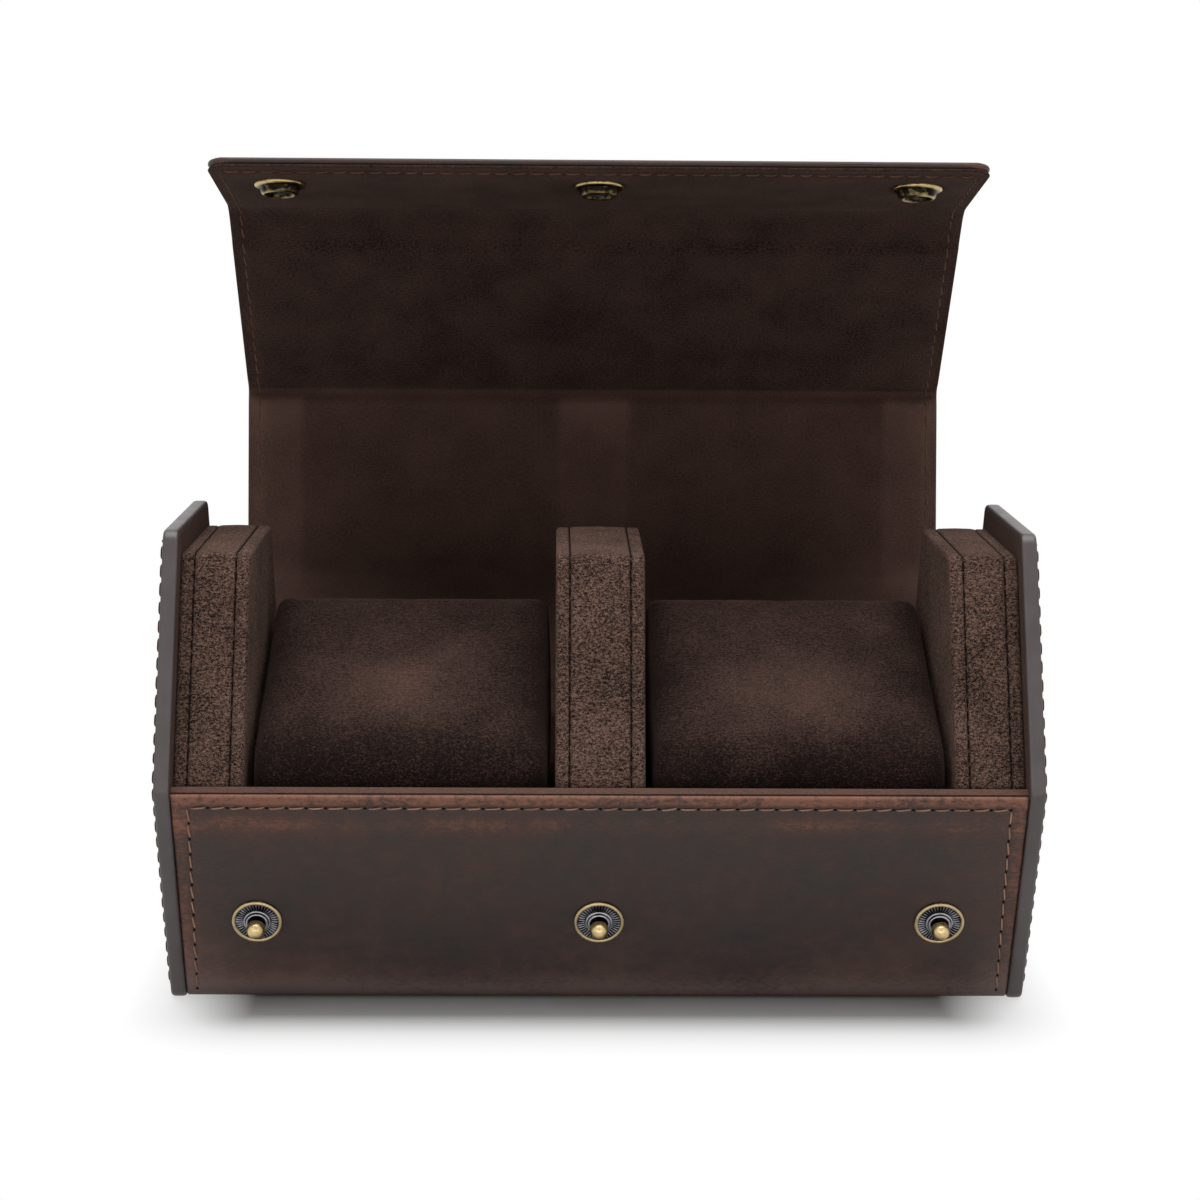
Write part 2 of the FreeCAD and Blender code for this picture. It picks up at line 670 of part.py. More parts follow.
# Ball studs: a banded ring with a sloped dish, a collar, and a ball that tapers down to its neck
BALL_MIDDLE = work("ball_middle", f"({cells.stud_height} + {cells.ball_rise})")
BALL_NECK = work("ball_neck", f"({BALL_MIDDLE} - sqrt({cells.ball_radius} ^ 2 - {cells.stud_neck} ^ 2))")
BALL_TOP = work("ball_top", f"({BALL_MIDDLE} + {cells.ball_radius})")
BAND_INNER = work("band_inner", f"({cells.stud_radius} - {cells.stud_band})")
COLLAR_TOP = work("collar_top", f"({cells.stud_height} + {cells.stud_collar_rise})")
POST_TOP = cells.stud_height
turned(
    "snap_studs",
    [
        (POST_HOLE, "0"),
        (cells.stud_radius, "0"),
        (cells.stud_radius, cells.stud_height),
        (BAND_INNER, cells.stud_height),
        (cells.stud_collar, f"({cells.stud_height} - {cells.stud_dish})"),
        (cells.stud_collar, COLLAR_TOP),
        (cells.stud_neck, COLLAR_TOP),
        (cells.stud_neck, BALL_NECK),
        (cells.ball_radius, BALL_MIDDLE),
        ("0", BALL_TOP),
        ("0", f"({POST_TOP} + {cells.post_fit})"),
        (POST_HOLE, f"({POST_TOP} + {cells.post_fit})"),
    ],
    {8: (cells.ball_radius, True)},
    stud_frame,
)

# Posts: flat heads behind the front leather, with a shank up into each stud
HEAD_TOP = f"-{cells.wall_leather}"
HEAD_BOTTOM = work("head_bottom", f"(0 - {cells.wall_leather} - {cells.post_head_thickness})")
turned(
    "snap_posts",
    [
        ("0", HEAD_BOTTOM),
        (cells.post_head, HEAD_BOTTOM),
        (cells.post_head, HEAD_TOP),
        (cells.post_radius, HEAD_TOP),
        (cells.post_radius, POST_TOP),
        ("0", POST_TOP),
    ],
    {},
    stud_frame,
)

# Sockets on the flap's lining: a stepped ring with a mouth for the collar, a bore for the ball
# and a groove that holds the ring spring
socket_frame = flap_frame.multiply(tilted(value(SOCKET_REACH), value(FLAP_LINING_FACE), 0))
SPRING_HEIGHT = work(
    "spring_height",
    f"({cells.socket_height} - {cells.ball_rise} / 2 + {cells.snap_gap})",
)
GROOVE = work("groove", f"({cells.spring_radius} + {cells.spring_wire} + {cells.crease_gap} / 2)")
GROOVE_HALF = work("groove_half", f"({cells.spring_wire} + {cells.post_fit})")
MOUTH_HEIGHT = work("mouth_height", f"({cells.socket_height} - {cells.socket_mouth_depth})")
turned(
    "snap_sockets",
    [
        (cells.socket_bore, "0"),
        (cells.socket_radius, "0"),
        (cells.socket_radius, cells.socket_rim),
        (cells.socket_face, cells.socket_height),
        (cells.socket_mouth, cells.socket_height),
        (cells.socket_mouth, MOUTH_HEIGHT),
        (cells.socket_bore, MOUTH_HEIGHT),
        (cells.socket_bore, f"({SPRING_HEIGHT} + {GROOVE_HALF})"),
        (GROOVE, f"({SPRING_HEIGHT} + {GROOVE_HALF})"),
        (GROOVE, f"({SPRING_HEIGHT} - {GROOVE_HALF})"),
        (cells.socket_bore, f"({SPRING_HEIGHT} - {GROOVE_HALF})"),
    ],
    {},
    socket_frame,
)

# Ring springs: one wire loop in each socket's groove, drawn with a few flats round the wire
turned(
    "snap_springs",
    [
        (
            f"({cells.spring_radius} + {cells.spring_wire} * cos({360 * flat / WIRE_FLATS}))",
            f"({SPRING_HEIGHT} + {cells.spring_wire} * sin({360 * flat / WIRE_FLATS}))",
        )
        for flat in range(WIRE_FLATS)
    ],
    {},
    socket_frame,
)

# Caps: low bevelled heads on the flap's outside, with a tube post through the three layers
OUTSIDE = work("outside", f"-({FLAP_LINING_FACE} + {HALF_SKIN})")
CAP_TUBE = work("cap_tube", f"({cells.cap_post_radius} - {cells.cap_post_wall})")
turned(
    "snap_caps",
    [
        (CAP_TUBE, OUTSIDE),
        (CAP_TUBE, "0"),
        (cells.cap_post_radius, "0"),
        (cells.cap_post_radius, OUTSIDE),
        (cells.cap_radius, OUTSIDE),
        (cells.cap_radius, f"({OUTSIDE} - {cells.cap_rim})"),
        (cells.cap_crown, f"({OUTSIDE} - {cells.cap_height})"),
        ("0", f"({OUTSIDE} - {cells.cap_height})"),
        ("0", OUTSIDE),
    ],
    {},
    socket_frame,
)

# Watch cushions: a cut foam block in a padded suede cover, crowned on top, drawn in at the sides and ends.
# The cover is a loft along X through rounded sections, drawn in the tilted frame of its top face.
CUSHION_WIDTH = work(
    "cushion_width",
    f"({INNER_LENGTH} - {cells.centre_divider}) / 2 - {cells.side_divider} - 2 * {cells.cushion_gap}",
)
CUSHION_MIDDLE = f"(({cells.centre_divider} + {CUSHION_WIDTH}) / 2 + {cells.cushion_gap})"

# The cushion leans a little more than the front wall. Its depth and its place follow from the gaps between
# its two low corners and the lining of the front and back walls.
lean = math.radians(wall_lean)
cushion_tilt = lean + math.radians(value(cells.cushion_tilt_angle))
low_corner = value(cells.cushion_low_corner)
low_reach = value(cells.cushion_height) - low_corner
wall_plane = value(WALL_IN) - value(cells.base_depth) / 2 * math.cos(lean)
wall_room = value(cells.cushion_rise) * math.sin(lean) - wall_plane
front_room = low_corner + value(cells.cushion_front_gap)
back_room = low_corner + value(cells.cushion_back_gap)
half_flat = (
    wall_room - low_reach * math.cos(cushion_tilt) * math.sin(lean) - (front_room + back_room) / 2
) / (math.cos(cushion_tilt) * math.cos(lean))
beyond = cushion_tilt - lean
cushion_forward = (
    wall_room - half_flat * math.cos(beyond) + low_reach * math.sin(beyond) - front_room
) / math.cos(lean)


def corner_middle(centre, radius, degrees):
    """Middle of a rounded corner, in the direction of its own quarter."""
    turn = math.radians(degrees)
    return centre + FreeCAD.Vector(0, radius * math.cos(turn), radius * math.sin(turn))


def cushion_section(across, shrink, crown, waist):
    """Closed wire of lines and arcs at one place along X: rounded corners, a crowned top, drawn-in sides."""
    half = low_corner + half_flat - shrink
    bottom = shrink - value(cells.cushion_height)
    top = -shrink
    high = value(cells.cushion_top_corner) - shrink
    deep = low_corner - shrink
    low_back = FreeCAD.Vector(across, half - deep, bottom + deep)
    top_back = FreeCAD.Vector(across, half - high, top - high)
    low_front = FreeCAD.Vector(across, deep - half, bottom + deep)
    top_front = FreeCAD.Vector(across, high - half, top - high)
    side_middle = (low_back.z + top_back.z) / 2
    down = FreeCAD.Vector(0, 0, -1)
    back = FreeCAD.Vector(0, 1, 0)
    corners = [
        (low_back, deep, -45, low_back + down * deep, low_back + back * deep),
        (top_back, high, 45, top_back + back * high, top_back - down * high),
        (top_front, high, 135, top_front - down * high, top_front - back * high),
        (low_front, deep, 225, low_front - back * deep, low_front + down * deep),
    ]
    bows = [
        (waist, FreeCAD.Vector(across, half - waist, side_middle)),
        (crown, FreeCAD.Vector(across, 0, top + crown)),
        (waist, FreeCAD.Vector(across, waist - half, side_middle)),
        (0.0, FreeCAD.Vector(across, 0, bottom)),
    ]
    edges = []
    for number, (centre, radius, degrees, start, end) in enumerate(corners):
        edges.append(Part.Arc(start, corner_middle(centre, radius, degrees), end).toShape())
        following = corners[(number + 1) % len(corners)][3]
        rise, middle = bows[number]
        side = Part.Arc(end, middle, following) if rise > 0 else Part.LineSegment(end, following)
        edges.append(side.toShape())
    return Part.Wire(edges)


cushion_half = value(CUSHION_WIDTH) / 2
core_half = cushion_half - value(cells.cushion_shoulder)
cushion_waist = value(cells.cushion_waist)
cushion_crown = value(cells.cushion_crown)


def cushion_outside():
    """Ruled loft from end to end: rounded shoulders on both sides of a crowned middle."""
    stations = []
    for shoulder_step in range(SHOULDER_STEPS + 1):
        turn = math.pi / 2 * shoulder_step / SHOULDER_STEPS
        across = core_half + value(cells.cushion_shoulder) * math.sin(turn)
        shrink = value(cells.cushion_end_draw) * (1 - math.cos(turn))
        stations.append((across, shrink))
    mirrored = [(-across, shrink) for across, shrink in reversed(stations)]
    wires = [cushion_section(*station, cushion_crown, cushion_waist) for station in mirrored + stations]
    return Part.makeLoft(wires, True, True)


core_shrink = value(cells.cushion_cover) + cushion_waist
core_end = Part.Face(cushion_section(-core_half, core_shrink, 0.0, 0.0))
cushion_core = core_end.extrude(FreeCAD.Vector(2 * core_half, 0, 0))
cushion_cover = Part.makeSolid(
    Part.makeCompound([cushion_outside().Shells[0], cushion_core.Shells[0].reversed()])
)
cushions = []
for side, name in ((-1, "left"), (1, "right")):
    for piece, shape in (("core", cushion_core), ("cover", cushion_cover)):
        cushion = doc.addObject("Part::Feature", f"{name}_cushion_{piece}")
        cushion.Shape = shape
        cushion.Placement = tilted(-cushion_forward, value(cells.cushion_rise), math.degrees(cushion_tilt))
        cushion.setExpression("Placement.Base.x", f"{side} * {CUSHION_MIDDLE}")
        cushions.append(cushion)

# Every object has to be sound before a file is written
doc.recompute()
for item in doc.Objects:
    if "Invalid" in item.State or "Error" in item.State:
        raise RuntimeError(f"{item.Label} failed: {item.State}")
bodies = [item for item in doc.Objects if item.TypeId == "PartDesign::Body"] + cushions
for body in bodies:
    if body.Shape.isNull() or not body.Shape.isValid():
        raise RuntimeError(f"{body.Label} has no valid shape")
os.makedirs("parts", exist_ok=True)
for body in bodies:
    body.Shape.exportStep(f"parts/{body.Label}.step")

# Creases of the open lid and of the closed lid, for whoever sets the joints
for crease, place in (
    ("hinge", back_fold_place),
    ("top crease", top_fold_place),
    ("front crease", front_fold_place),
    ("flap crease", flap_fold_place),
):
    print(f"{crease}: depth {place[0]:.3f}, height {place[1]:.3f}")
closed = [BACK_FOLD, TOP_BACK_FOLD, TOP_FRONT_FOLD, FLAP_FOLD]
for start, end in zip(closed, closed[1:]):
    rise = value(end[1]) - value(start[1])
    run = value(end[0]) - value(start[0])
    direction = math.degrees(math.atan2(rise, run)) % 360
    print(f"closed panel direction {direction:.3f} length {math.hypot(run, rise):.3f}")
print(f"closed flap direction {360 - 90 + wall_lean:.3f} length {value(FLAP_LENGTH):.3f}")
print(f"socket reach {value(SOCKET_REACH):.3f}, {len(bodies)} sub-parts")
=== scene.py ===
import json
import math

import bmesh
import bpy
import mathutils
import numpy as np
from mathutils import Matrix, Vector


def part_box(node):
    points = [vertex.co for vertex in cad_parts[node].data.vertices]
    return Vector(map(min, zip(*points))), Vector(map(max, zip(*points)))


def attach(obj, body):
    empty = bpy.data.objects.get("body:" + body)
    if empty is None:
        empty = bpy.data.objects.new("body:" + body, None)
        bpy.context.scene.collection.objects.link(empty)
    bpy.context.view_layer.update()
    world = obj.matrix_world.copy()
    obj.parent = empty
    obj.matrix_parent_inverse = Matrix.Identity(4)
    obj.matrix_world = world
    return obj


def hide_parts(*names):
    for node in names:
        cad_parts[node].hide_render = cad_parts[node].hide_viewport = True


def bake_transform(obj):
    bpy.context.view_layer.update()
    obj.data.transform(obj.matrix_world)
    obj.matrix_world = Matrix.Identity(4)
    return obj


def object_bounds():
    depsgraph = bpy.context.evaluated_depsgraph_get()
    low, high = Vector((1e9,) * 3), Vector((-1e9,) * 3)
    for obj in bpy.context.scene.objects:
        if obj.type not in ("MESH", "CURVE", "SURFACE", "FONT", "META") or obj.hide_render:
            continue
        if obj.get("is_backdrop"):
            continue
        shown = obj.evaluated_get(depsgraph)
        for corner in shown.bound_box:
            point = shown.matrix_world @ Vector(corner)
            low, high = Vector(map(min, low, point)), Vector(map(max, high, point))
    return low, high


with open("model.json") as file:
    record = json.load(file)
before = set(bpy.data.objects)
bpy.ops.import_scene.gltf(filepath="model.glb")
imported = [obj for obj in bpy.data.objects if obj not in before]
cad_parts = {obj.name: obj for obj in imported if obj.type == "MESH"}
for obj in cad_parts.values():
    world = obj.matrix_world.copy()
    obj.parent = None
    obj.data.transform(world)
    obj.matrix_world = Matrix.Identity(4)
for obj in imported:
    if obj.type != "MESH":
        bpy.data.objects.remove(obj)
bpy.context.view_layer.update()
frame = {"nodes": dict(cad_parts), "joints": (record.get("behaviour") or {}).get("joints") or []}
nodes = frame["nodes"]

# End panels: two stiff hexagons that every other piece meets. Waxed leather outside, suede inside, and a
# painted, burnished edge that seals the layers. Both are sewn all round, near the edge.
MM = 0.001
SHARP = math.radians(50)
HEXAGON = [(-24.0, 0.0), (24.0, 0.0), (43.0, 46.5), (23.0, 94.0), (-23.0, 94.0), (-43.0, 46.5)]
PANEL_CENTRE = np.array([0.0, 47.0])
PANEL_INNER = 82.0
PANEL_OUTER = 85.0
PANEL_ROUND = 3.0
RIM_DEPTH = 1.6
RIM_SQUARE = 0.55
PANEL_STITCH_INSET = 2.5
PANEL_STITCH_PROUD = 0.15
PANEL_STITCH_RADIUS = 0.32
PANEL_SEAM_DEPTH = 0.22
PANEL_SEAM_WIDTH = 0.3
FACE_LEATHER = 1.0
FACE_LINING = 0.55
FACE_DROP = 0.35
DROP_FROM = 1.3
DROP_OVER = 0.6


def bend_line(corners, radii, step, closed=False):
    """Line through corners, each turned into a tangent arc: points and headings, about a step apart."""
    corners = np.asarray(corners, float)
    count = len(corners)
    radii = np.broadcast_to(np.asarray(radii, float), (count,))
    inner = range(count) if closed else range(1, count - 1)
    arcs = {}
    for i in inner:
        before = corners[i] - corners[i - 1]
        after = corners[(i + 1) % count] - corners[i]
        heading = math.atan2(before[1], before[0])
        turn = math.atan2(before[0] * after[1] - before[1] * after[0], before @ after)
        reach = radii[i] * math.tan(abs(turn) / 2)
        along = np.array([math.cos(heading), math.sin(heading)])
        start = corners[i] - reach * along
        side = math.copysign(radii[i], turn)
        middle = start + side * np.array([-along[1], along[0]])
        headings = heading + np.linspace(0, turn, max(5, int(abs(turn) * radii[i] / step * 3) + 4))
        points = middle - side * np.stack([-np.sin(headings), np.cos(headings)], 1)
        arcs[i] = (points, headings)
    if not closed:
        first = corners[1] - corners[0]
        last = corners[-1] - corners[-2]
        arcs[0] = (corners[:1], np.array([math.atan2(first[1], first[0])]))
        arcs[count - 1] = (corners[-1:], np.array([math.atan2(last[1], last[0])]))
    parts = []
    for i in range(count if closed else count - 1):
        end, start = arcs[i][0][-1], arcs[(i + 1) % count][0][0]
        share = np.linspace(0, 1, max(2, int(np.linalg.norm(start - end) / step) + 1))[1:-1, None]
        run = end + (start - end) * share
        parts += [arcs[i], (run, np.full(len(run), arcs[i][1][-1]))]
    if not closed:
        parts.append(arcs[count - 1])
    return np.concatenate([p for p, h in parts]), np.unwrap(np.concatenate([h for p, h in parts]))


def left_of(headings):
    """Unit normals on the left of each heading."""
    return np.stack([-np.sin(headings), np.cos(headings)], -1)


def quads(index, wrap_rows=False, wrap_columns=False):
    """Quads between neighbours in a grid of point numbers."""
    if wrap_rows:
        index = np.concatenate([index, index[:1]])
    if wrap_columns:
        index = np.concatenate([index, index[:, :1]], 1)
    return np.stack([index[:-1, :-1], index[1:, :-1], index[1:, 1:], index[:-1, 1:]], -1).reshape(-1, 4)


def add_piece(name, points, faces, material, body, slot=None, uv=None, **marks):
    """Object at the origin from points in millimetres, faces turned outwards, with marks on its points."""
    mesh = bpy.data.meshes.new(name)
    points = np.asarray(points, float).reshape(-1, 3)
    mesh.from_pydata((points * MM).tolist(), [], [row for part in faces for row in part.tolist()])
    work = bmesh.new()
    work.from_mesh(mesh)
    bmesh.ops.recalc_face_normals(work, faces=work.faces)
    work.to_mesh(mesh)
    work.free()
    mesh.shade_smooth()
    mesh.set_sharp_from_angle(angle=SHARP)
    for key, numbers in marks.items():
        spots = mesh.attributes.new(key, "FLOAT", "POINT")
        spots.data.foreach_set("value", np.asarray(numbers, np.float32).ravel())
    if uv is not None:
        corners = np.zeros(len(mesh.loops), np.int32)
        mesh.loops.foreach_get("vertex_index", corners)
        flat = np.asarray(uv, float).reshape(-1, 2)[corners] * MM
        mesh.uv_layers.new(name="UVMap").data.foreach_set("uv", flat.astype(np.float32).ravel())
    mesh.materials.append(material)
    piece = bpy.data.objects.new(name, mesh)
    bpy.context.scene.collection.objects.link(piece)
    if body is not None:
        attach(piece, body)
    return piece


def tint(red, green, blue):
    """Screen colour, 0 to 255, as the linear colour that a shader takes."""
    screen = np.array([red, green, blue]) / 255
    return (*np.where(screen <= 0.04045, screen / 12.92, ((screen + 0.055) / 1.055) ** 2.4), 1.0)


def add_node(tree, kind, settings=None, **inputs):
    """A node with its settings, and each input set to a value or joined to a socket."""
    made = tree.nodes.new(kind)
    for key, choice in (settings or {}).items():
        setattr(made, key, choice)
    for key, source in inputs.items():
        join(tree, made.inputs[key.replace("_", " ")], source)
    return made


def join(tree, socket, source):
    """Sets a socket to a value, or links it to another socket."""
    if isinstance(source, bpy.types.NodeSocket):
        tree.links.new(source, socket)
    else:
        socket.default_value = source


def sums(tree, operation, first, second=0.0):
    """Output of a two-value sum."""
    made = tree.nodes.new("ShaderNodeMath")
    made.operation = operation
    join(tree, made.inputs[0], first)
    join(tree, made.inputs[1], second)
    return made.outputs[0]


def rescale(tree, source, low, high, to_low=0.0, to_high=1.0):
    """A value's place between low and high, carried over to a new range and held inside it."""
    ends = {"From_Min": low, "From_Max": high, "To_Min": to_low, "To_Max": to_high}
    return add_node(tree, "ShaderNodeMapRange", Value=source, **ends).outputs[0]


def blend_colour(tree, share, first, second):
    """First colour at a share of 0, second at 1, and a straight mix between."""
    made = tree.nodes.new("ShaderNodeMix")
    made.data_type = "RGBA"
    join(tree, made.inputs[0], share)
    join(tree, made.inputs[6], first)
    join(tree, made.inputs[7], second)
    return made.outputs[2]


def noise(tree, vector, scale, detail=2.0, roughness=0.5):
    """Cloudy noise from 0 to 1, with about as many clouds to the metre as its scale."""
    clouds = {"Scale": scale, "Detail": detail, "Roughness": roughness}
    return add_node(tree, "ShaderNodeTexNoise", Vector=vector, **clouds).outputs["Fac"]


def stretch(tree, vector, scale):
    """Coordinates scaled along each axis: a pattern grows longer where the scale is below 1."""
    made = add_node(tree, "ShaderNodeMapping", Vector=vector)
    made.inputs["Scale"].default_value = scale
    return made.outputs[0]


def effect(name, inputs, outputs):
    """An empty node group with named inputs and outputs."""
    group = bpy.data.node_groups.new(name, "ShaderNodeTree")
    for key, kind in inputs.items():
        group.interface.new_socket(name=key, in_out="INPUT", socket_type="NodeSocket" + kind)
    for key in outputs:
        group.interface.new_socket(name=key, in_out="OUTPUT", socket_type="NodeSocketFloat")
    return group, group.nodes.new("NodeGroupInput").outputs, group.nodes.new("NodeGroupOutput").inputs


def waxed_grain():
    """Leather: soft clouds and long rubbed streaks in the wax, wear where it is marked (low on the front
    wall partly painted light), fine pores.
    """
    sockets = {"Vector": "Vector", "Wear": "Float"}
    group, given, out = effect("waxed_grain", sockets, ["Worn", "Gloss", "Height"])
    clouds = noise(group, given["Vector"], 38.0, 3.0, 0.55)
    streaks = noise(group, stretch(group, given["Vector"], (0.3, 1.0, 1.0)), 420.0, 4.0, 0.6)
    fibres = noise(group, stretch(group, given["Vector"], (0.55, 1.0, 1.0)), 1300.0, 3.0, 0.65)
    pores = noise(group, given["Vector"], 2100.0, 3.0, 0.6)
    mottle = noise(group, given["Vector"], 260.0, 3.0, 0.6)
    wrinkles = add_node(
        group, "ShaderNodeTexVoronoi", {"feature": "DISTANCE_TO_EDGE"}, Vector=given["Vector"], Scale=1150.0
    )
    broken = sums(group, "ADD", sums(group, "MULTIPLY", clouds, 0.6), sums(group, "MULTIPLY", fibres, 0.95))
    rubbed = sums(group, "MULTIPLY", given["Wear"], rescale(group, broken, 0.55, 1.02, 0.1, 1.6))
    wax = sums(group, "ADD", clouds, sums(group, "MULTIPLY", streaks, 0.5))
    haze = rescale(group, wax, 0.55, 1.0, 0.0, 0.26)
    specks = rescale(group, pores, 0.58, 0.78, 0.0, 0.45)
    blotches = rescale(group, mottle, 0.42, 0.72, 0.0, 0.16)
    surface = sums(group, "ADD", sums(group, "ADD", haze, specks), blotches)
    worn = sums(group, "ADD", rubbed, surface)
    join(group, out["Worn"], sums(group, "MINIMUM", worn, 1.0))
    join(group, out["Gloss"], rescale(group, sums(group, "ADD", clouds, streaks), 0.7, 1.3, 0.42, 0.6))
    fine = rescale(group, wrinkles.outputs["Distance"], 0.0, 0.12)
    height = sums(group, "ADD", sums(group, "MULTIPLY", fine, 0.4), sums(group, "MULTIPLY", pores, 0.7))
    join(group, out["Height"], sums(group, "ADD", height, sums(group, "MULTIPLY", fibres, 0.4)))
    return group


def suede_nap():
    """Suede: short fibres that lie in clumps, brushed clouds, and a mark for pressed nap and for painted
    light and shade.
    """
    sockets = {"Vector": "Vector", "Mark": "Float", "Contrast": "Float"}
    group, given, out = effect("suede_nap", sockets, ["Tone", "Height"])
    fibre = noise(group, stretch(group, given["Vector"], (0.7, 1.0, 1.0)), 5000.0, 2.0, 0.7)
    clumps = noise(group, stretch(group, given["Vector"], (0.6, 1.0, 1.0)), 2400.0, 2.0, 0.6)
    brushed = noise(group, given["Vector"], 75.0, 3.0, 0.6)
    fuzz = sums(group, "ADD", sums(group, "MULTIPLY", fibre, 0.6), sums(group, "MULTIPLY", clumps, 0.4))
    speckle = sums(group, "MULTIPLY", rescale(group, fuzz, 0.3, 0.7, -0.5, 0.5), given["Contrast"])
    tone = sums(group, "ADD", speckle, rescale(group, brushed, 0.3, 0.7, 0.33, 0.53))
    join(group, out["Tone"], sums(group, "ADD", tone, given["Mark"]))
    join(group, out["Height"], sums(group, "ADD", fuzz, sums(group, "MULTIPLY", brushed, 0.3)))
    return group


WAXED_GRAIN = waxed_grain()
SUEDE_NAP = suede_nap()


def finish_with(material, bump, distance, height):
    """Joins a height to the shader's normal through a bump."""
    tree = material.node_tree
    made = add_node(tree, "ShaderNodeBump", Height=height, Strength=bump, Distance=distance)
    tree.links.new(made.outputs[0], tree.nodes["Principled BSDF"].inputs["Normal"])


def new_material(name, roughness, specular, **more):
    """A material with its shader, and the inputs that are the same all over the surface."""
    material = bpy.data.materials.new(name)
    material.use_nodes = True
    shader = material.node_tree.nodes["Principled BSDF"]
    shader.inputs["Roughness"].default_value = roughness
    shader.inputs["Specular IOR Level"].default_value = specular
    for key, number in more.items():
        shader.inputs[key.replace("_", " ")].default_value = number
    return material, material.node_tree, shader


def pattern_place(tree, source):
    """Coordinates of a pattern, in metres: Object, or the piece's own UV."""
    return add_node(tree, "ShaderNodeTexCoord").outputs[source]


def mark_on(tree, name):
    """A mark that the piece carries on its points, and 0 where it has none."""
    return add_node(tree, "ShaderNodeAttribute", {"attribute_name": name}).outputs["Fac"]


def leather_material(name, dark, warm, worn, source):
    """Waxed pull-up leather: dark where the wax lies, warm brown where it is rubbed, tan at the edges,
    and a painted reflection of the white floor, light grey-brown, low on the front wall by the foot."""
    material, tree, shader = new_material(name, 0.5, 0.3)
    grain = add_node(tree, "ShaderNodeGroup", {"node_tree": WAXED_GRAIN})
    join(tree, grain.inputs["Vector"], pattern_place(tree, source))
    join(tree, grain.inputs["Wear"], mark_on(tree, "wear"))
    share = grain.outputs["Worn"]
    warmed = blend_colour(tree, rescale(tree, share, 0.0, 0.5), dark, warm)
    colour = blend_colour(tree, rescale(tree, share, 0.45, 1.0), warmed, worn)
    # Painted reflection: the colour is lightened to a grey-brown low on the front wall, by the foot, for the
    # white floor that it reflects.
    reflected = sums(tree, "MULTIPLY", mark_on(tree, "floor_reflection"), rescale(tree, share, 0.1, 0.6, 0.5, 1.4))
    colour = blend_colour(tree, reflected, colour, LEATHER_FLOOR_REFLECTION)
    tree.links.new(colour, shader.inputs["Base Color"])
    tree.links.new(grain.outputs["Gloss"], shader.inputs["Roughness"])
    finish_with(material, 0.55, 0.00014, grain.outputs["Height"])
    return material


def suede_material(name, dark, light, source, contrast):
    """Dark brown napped microfibre that pales where the nap is brushed or pressed, and carries painted light
    and shade in its mark.
    """
    material, tree, shader = new_material(
        name, 0.95, 0.06, Sheen_Weight=0.12, Sheen_Roughness=0.45, Sheen_Tint=tint(190, 160, 145)
    )
    nap = add_node(tree, "ShaderNodeGroup", {"node_tree": SUEDE_NAP})
    nap.inputs["Contrast"].default_value = contrast
    join(tree, nap.inputs["Vector"], pattern_place(tree, source))
    join(tree, nap.inputs["Mark"], mark_on(tree, "mark"))
    tree.links.new(blend_colour(tree, nap.outputs["Tone"], dark, light), shader.inputs["Base Color"])
    finish_with(material, 0.8, 0.0005, nap.outputs["Height"])
    return material


LEATHER_DARK = tint(42, 39, 37)
LEATHER_WARM = tint(74, 50, 41)
LEATHER_WORN = tint(122, 80, 63)
# Colour of the painted reflection of the floor, low on the front wall.
LEATHER_FLOOR_REFLECTION = tint(112, 94, 90)
SUEDE_DARK = tint(22, 15, 14)
SUEDE_LIGHT = tint(104, 79, 70)
case_leather = leather_material("case_leather", LEATHER_DARK, LEATHER_WARM, LEATHER_WORN, "Object")
case_suede = suede_material("case_suede", SUEDE_DARK, SUEDE_LIGHT, "Object", 1.0)


def edge_paint_material():
    """Edge paint: thick dark acrylic, rubbed to a low shine."""
    material, tree, shader = new_material("edge_paint", 0.4, 0.5)
    place = pattern_place(tree, "Object")
    rubbed = noise(tree, place, 160.0, 2.0)
    colour = blend_colour(tree, rescale(tree, rubbed, 0.3, 0.7), tint(66, 58, 58), tint(76, 68, 68))
    tree.links.new(colour, shader.inputs["Base Color"])
    tree.links.new(rescale(tree, rubbed, 0.3, 0.7, 0.34, 0.44), shader.inputs["Roughness"])
    finish_with(material, 0.12, 0.0001, noise(tree, place, 900.0, 2.0))
    return material


edge_paint = edge_paint_material()


def thread_twist():
    """Thread: fine strands in a tight twist, paler in patches where it is rubbed."""
    group, given, out = effect("thread_twist", {"Vector": "Vector"}, ["Tone", "Height"])
    twist = noise(group, given["Vector"], 5000.0, 2.0)
    wear = noise(group, given["Vector"], 120.0, 2.0)
    mixed = sums(group, "ADD", sums(group, "MULTIPLY", twist, 0.6), sums(group, "MULTIPLY", wear, 0.5))
    join(group, out["Tone"], rescale(group, mixed, 0.35, 0.8))
    join(group, out["Height"], twist)
    return group


THREAD_TWIST = thread_twist()


def thread_material(name, dark, light):
    """Waxed polyester thread."""
    material, tree, shader = new_material(name, 0.8, 0.05)
    place = pattern_place(tree, "Object")
    twist = add_node(tree, "ShaderNodeGroup", {"node_tree": THREAD_TWIST}, Vector=place)
    tree.links.new(blend_colour(tree, twist.outputs["Tone"], dark, light), shader.inputs["Base Color"])
    finish_with(material, 0.5, 0.0001, twist.outputs["Height"])
    return material


case_thread = thread_material("case_thread", tint(92, 66, 52), tint(158, 122, 100))
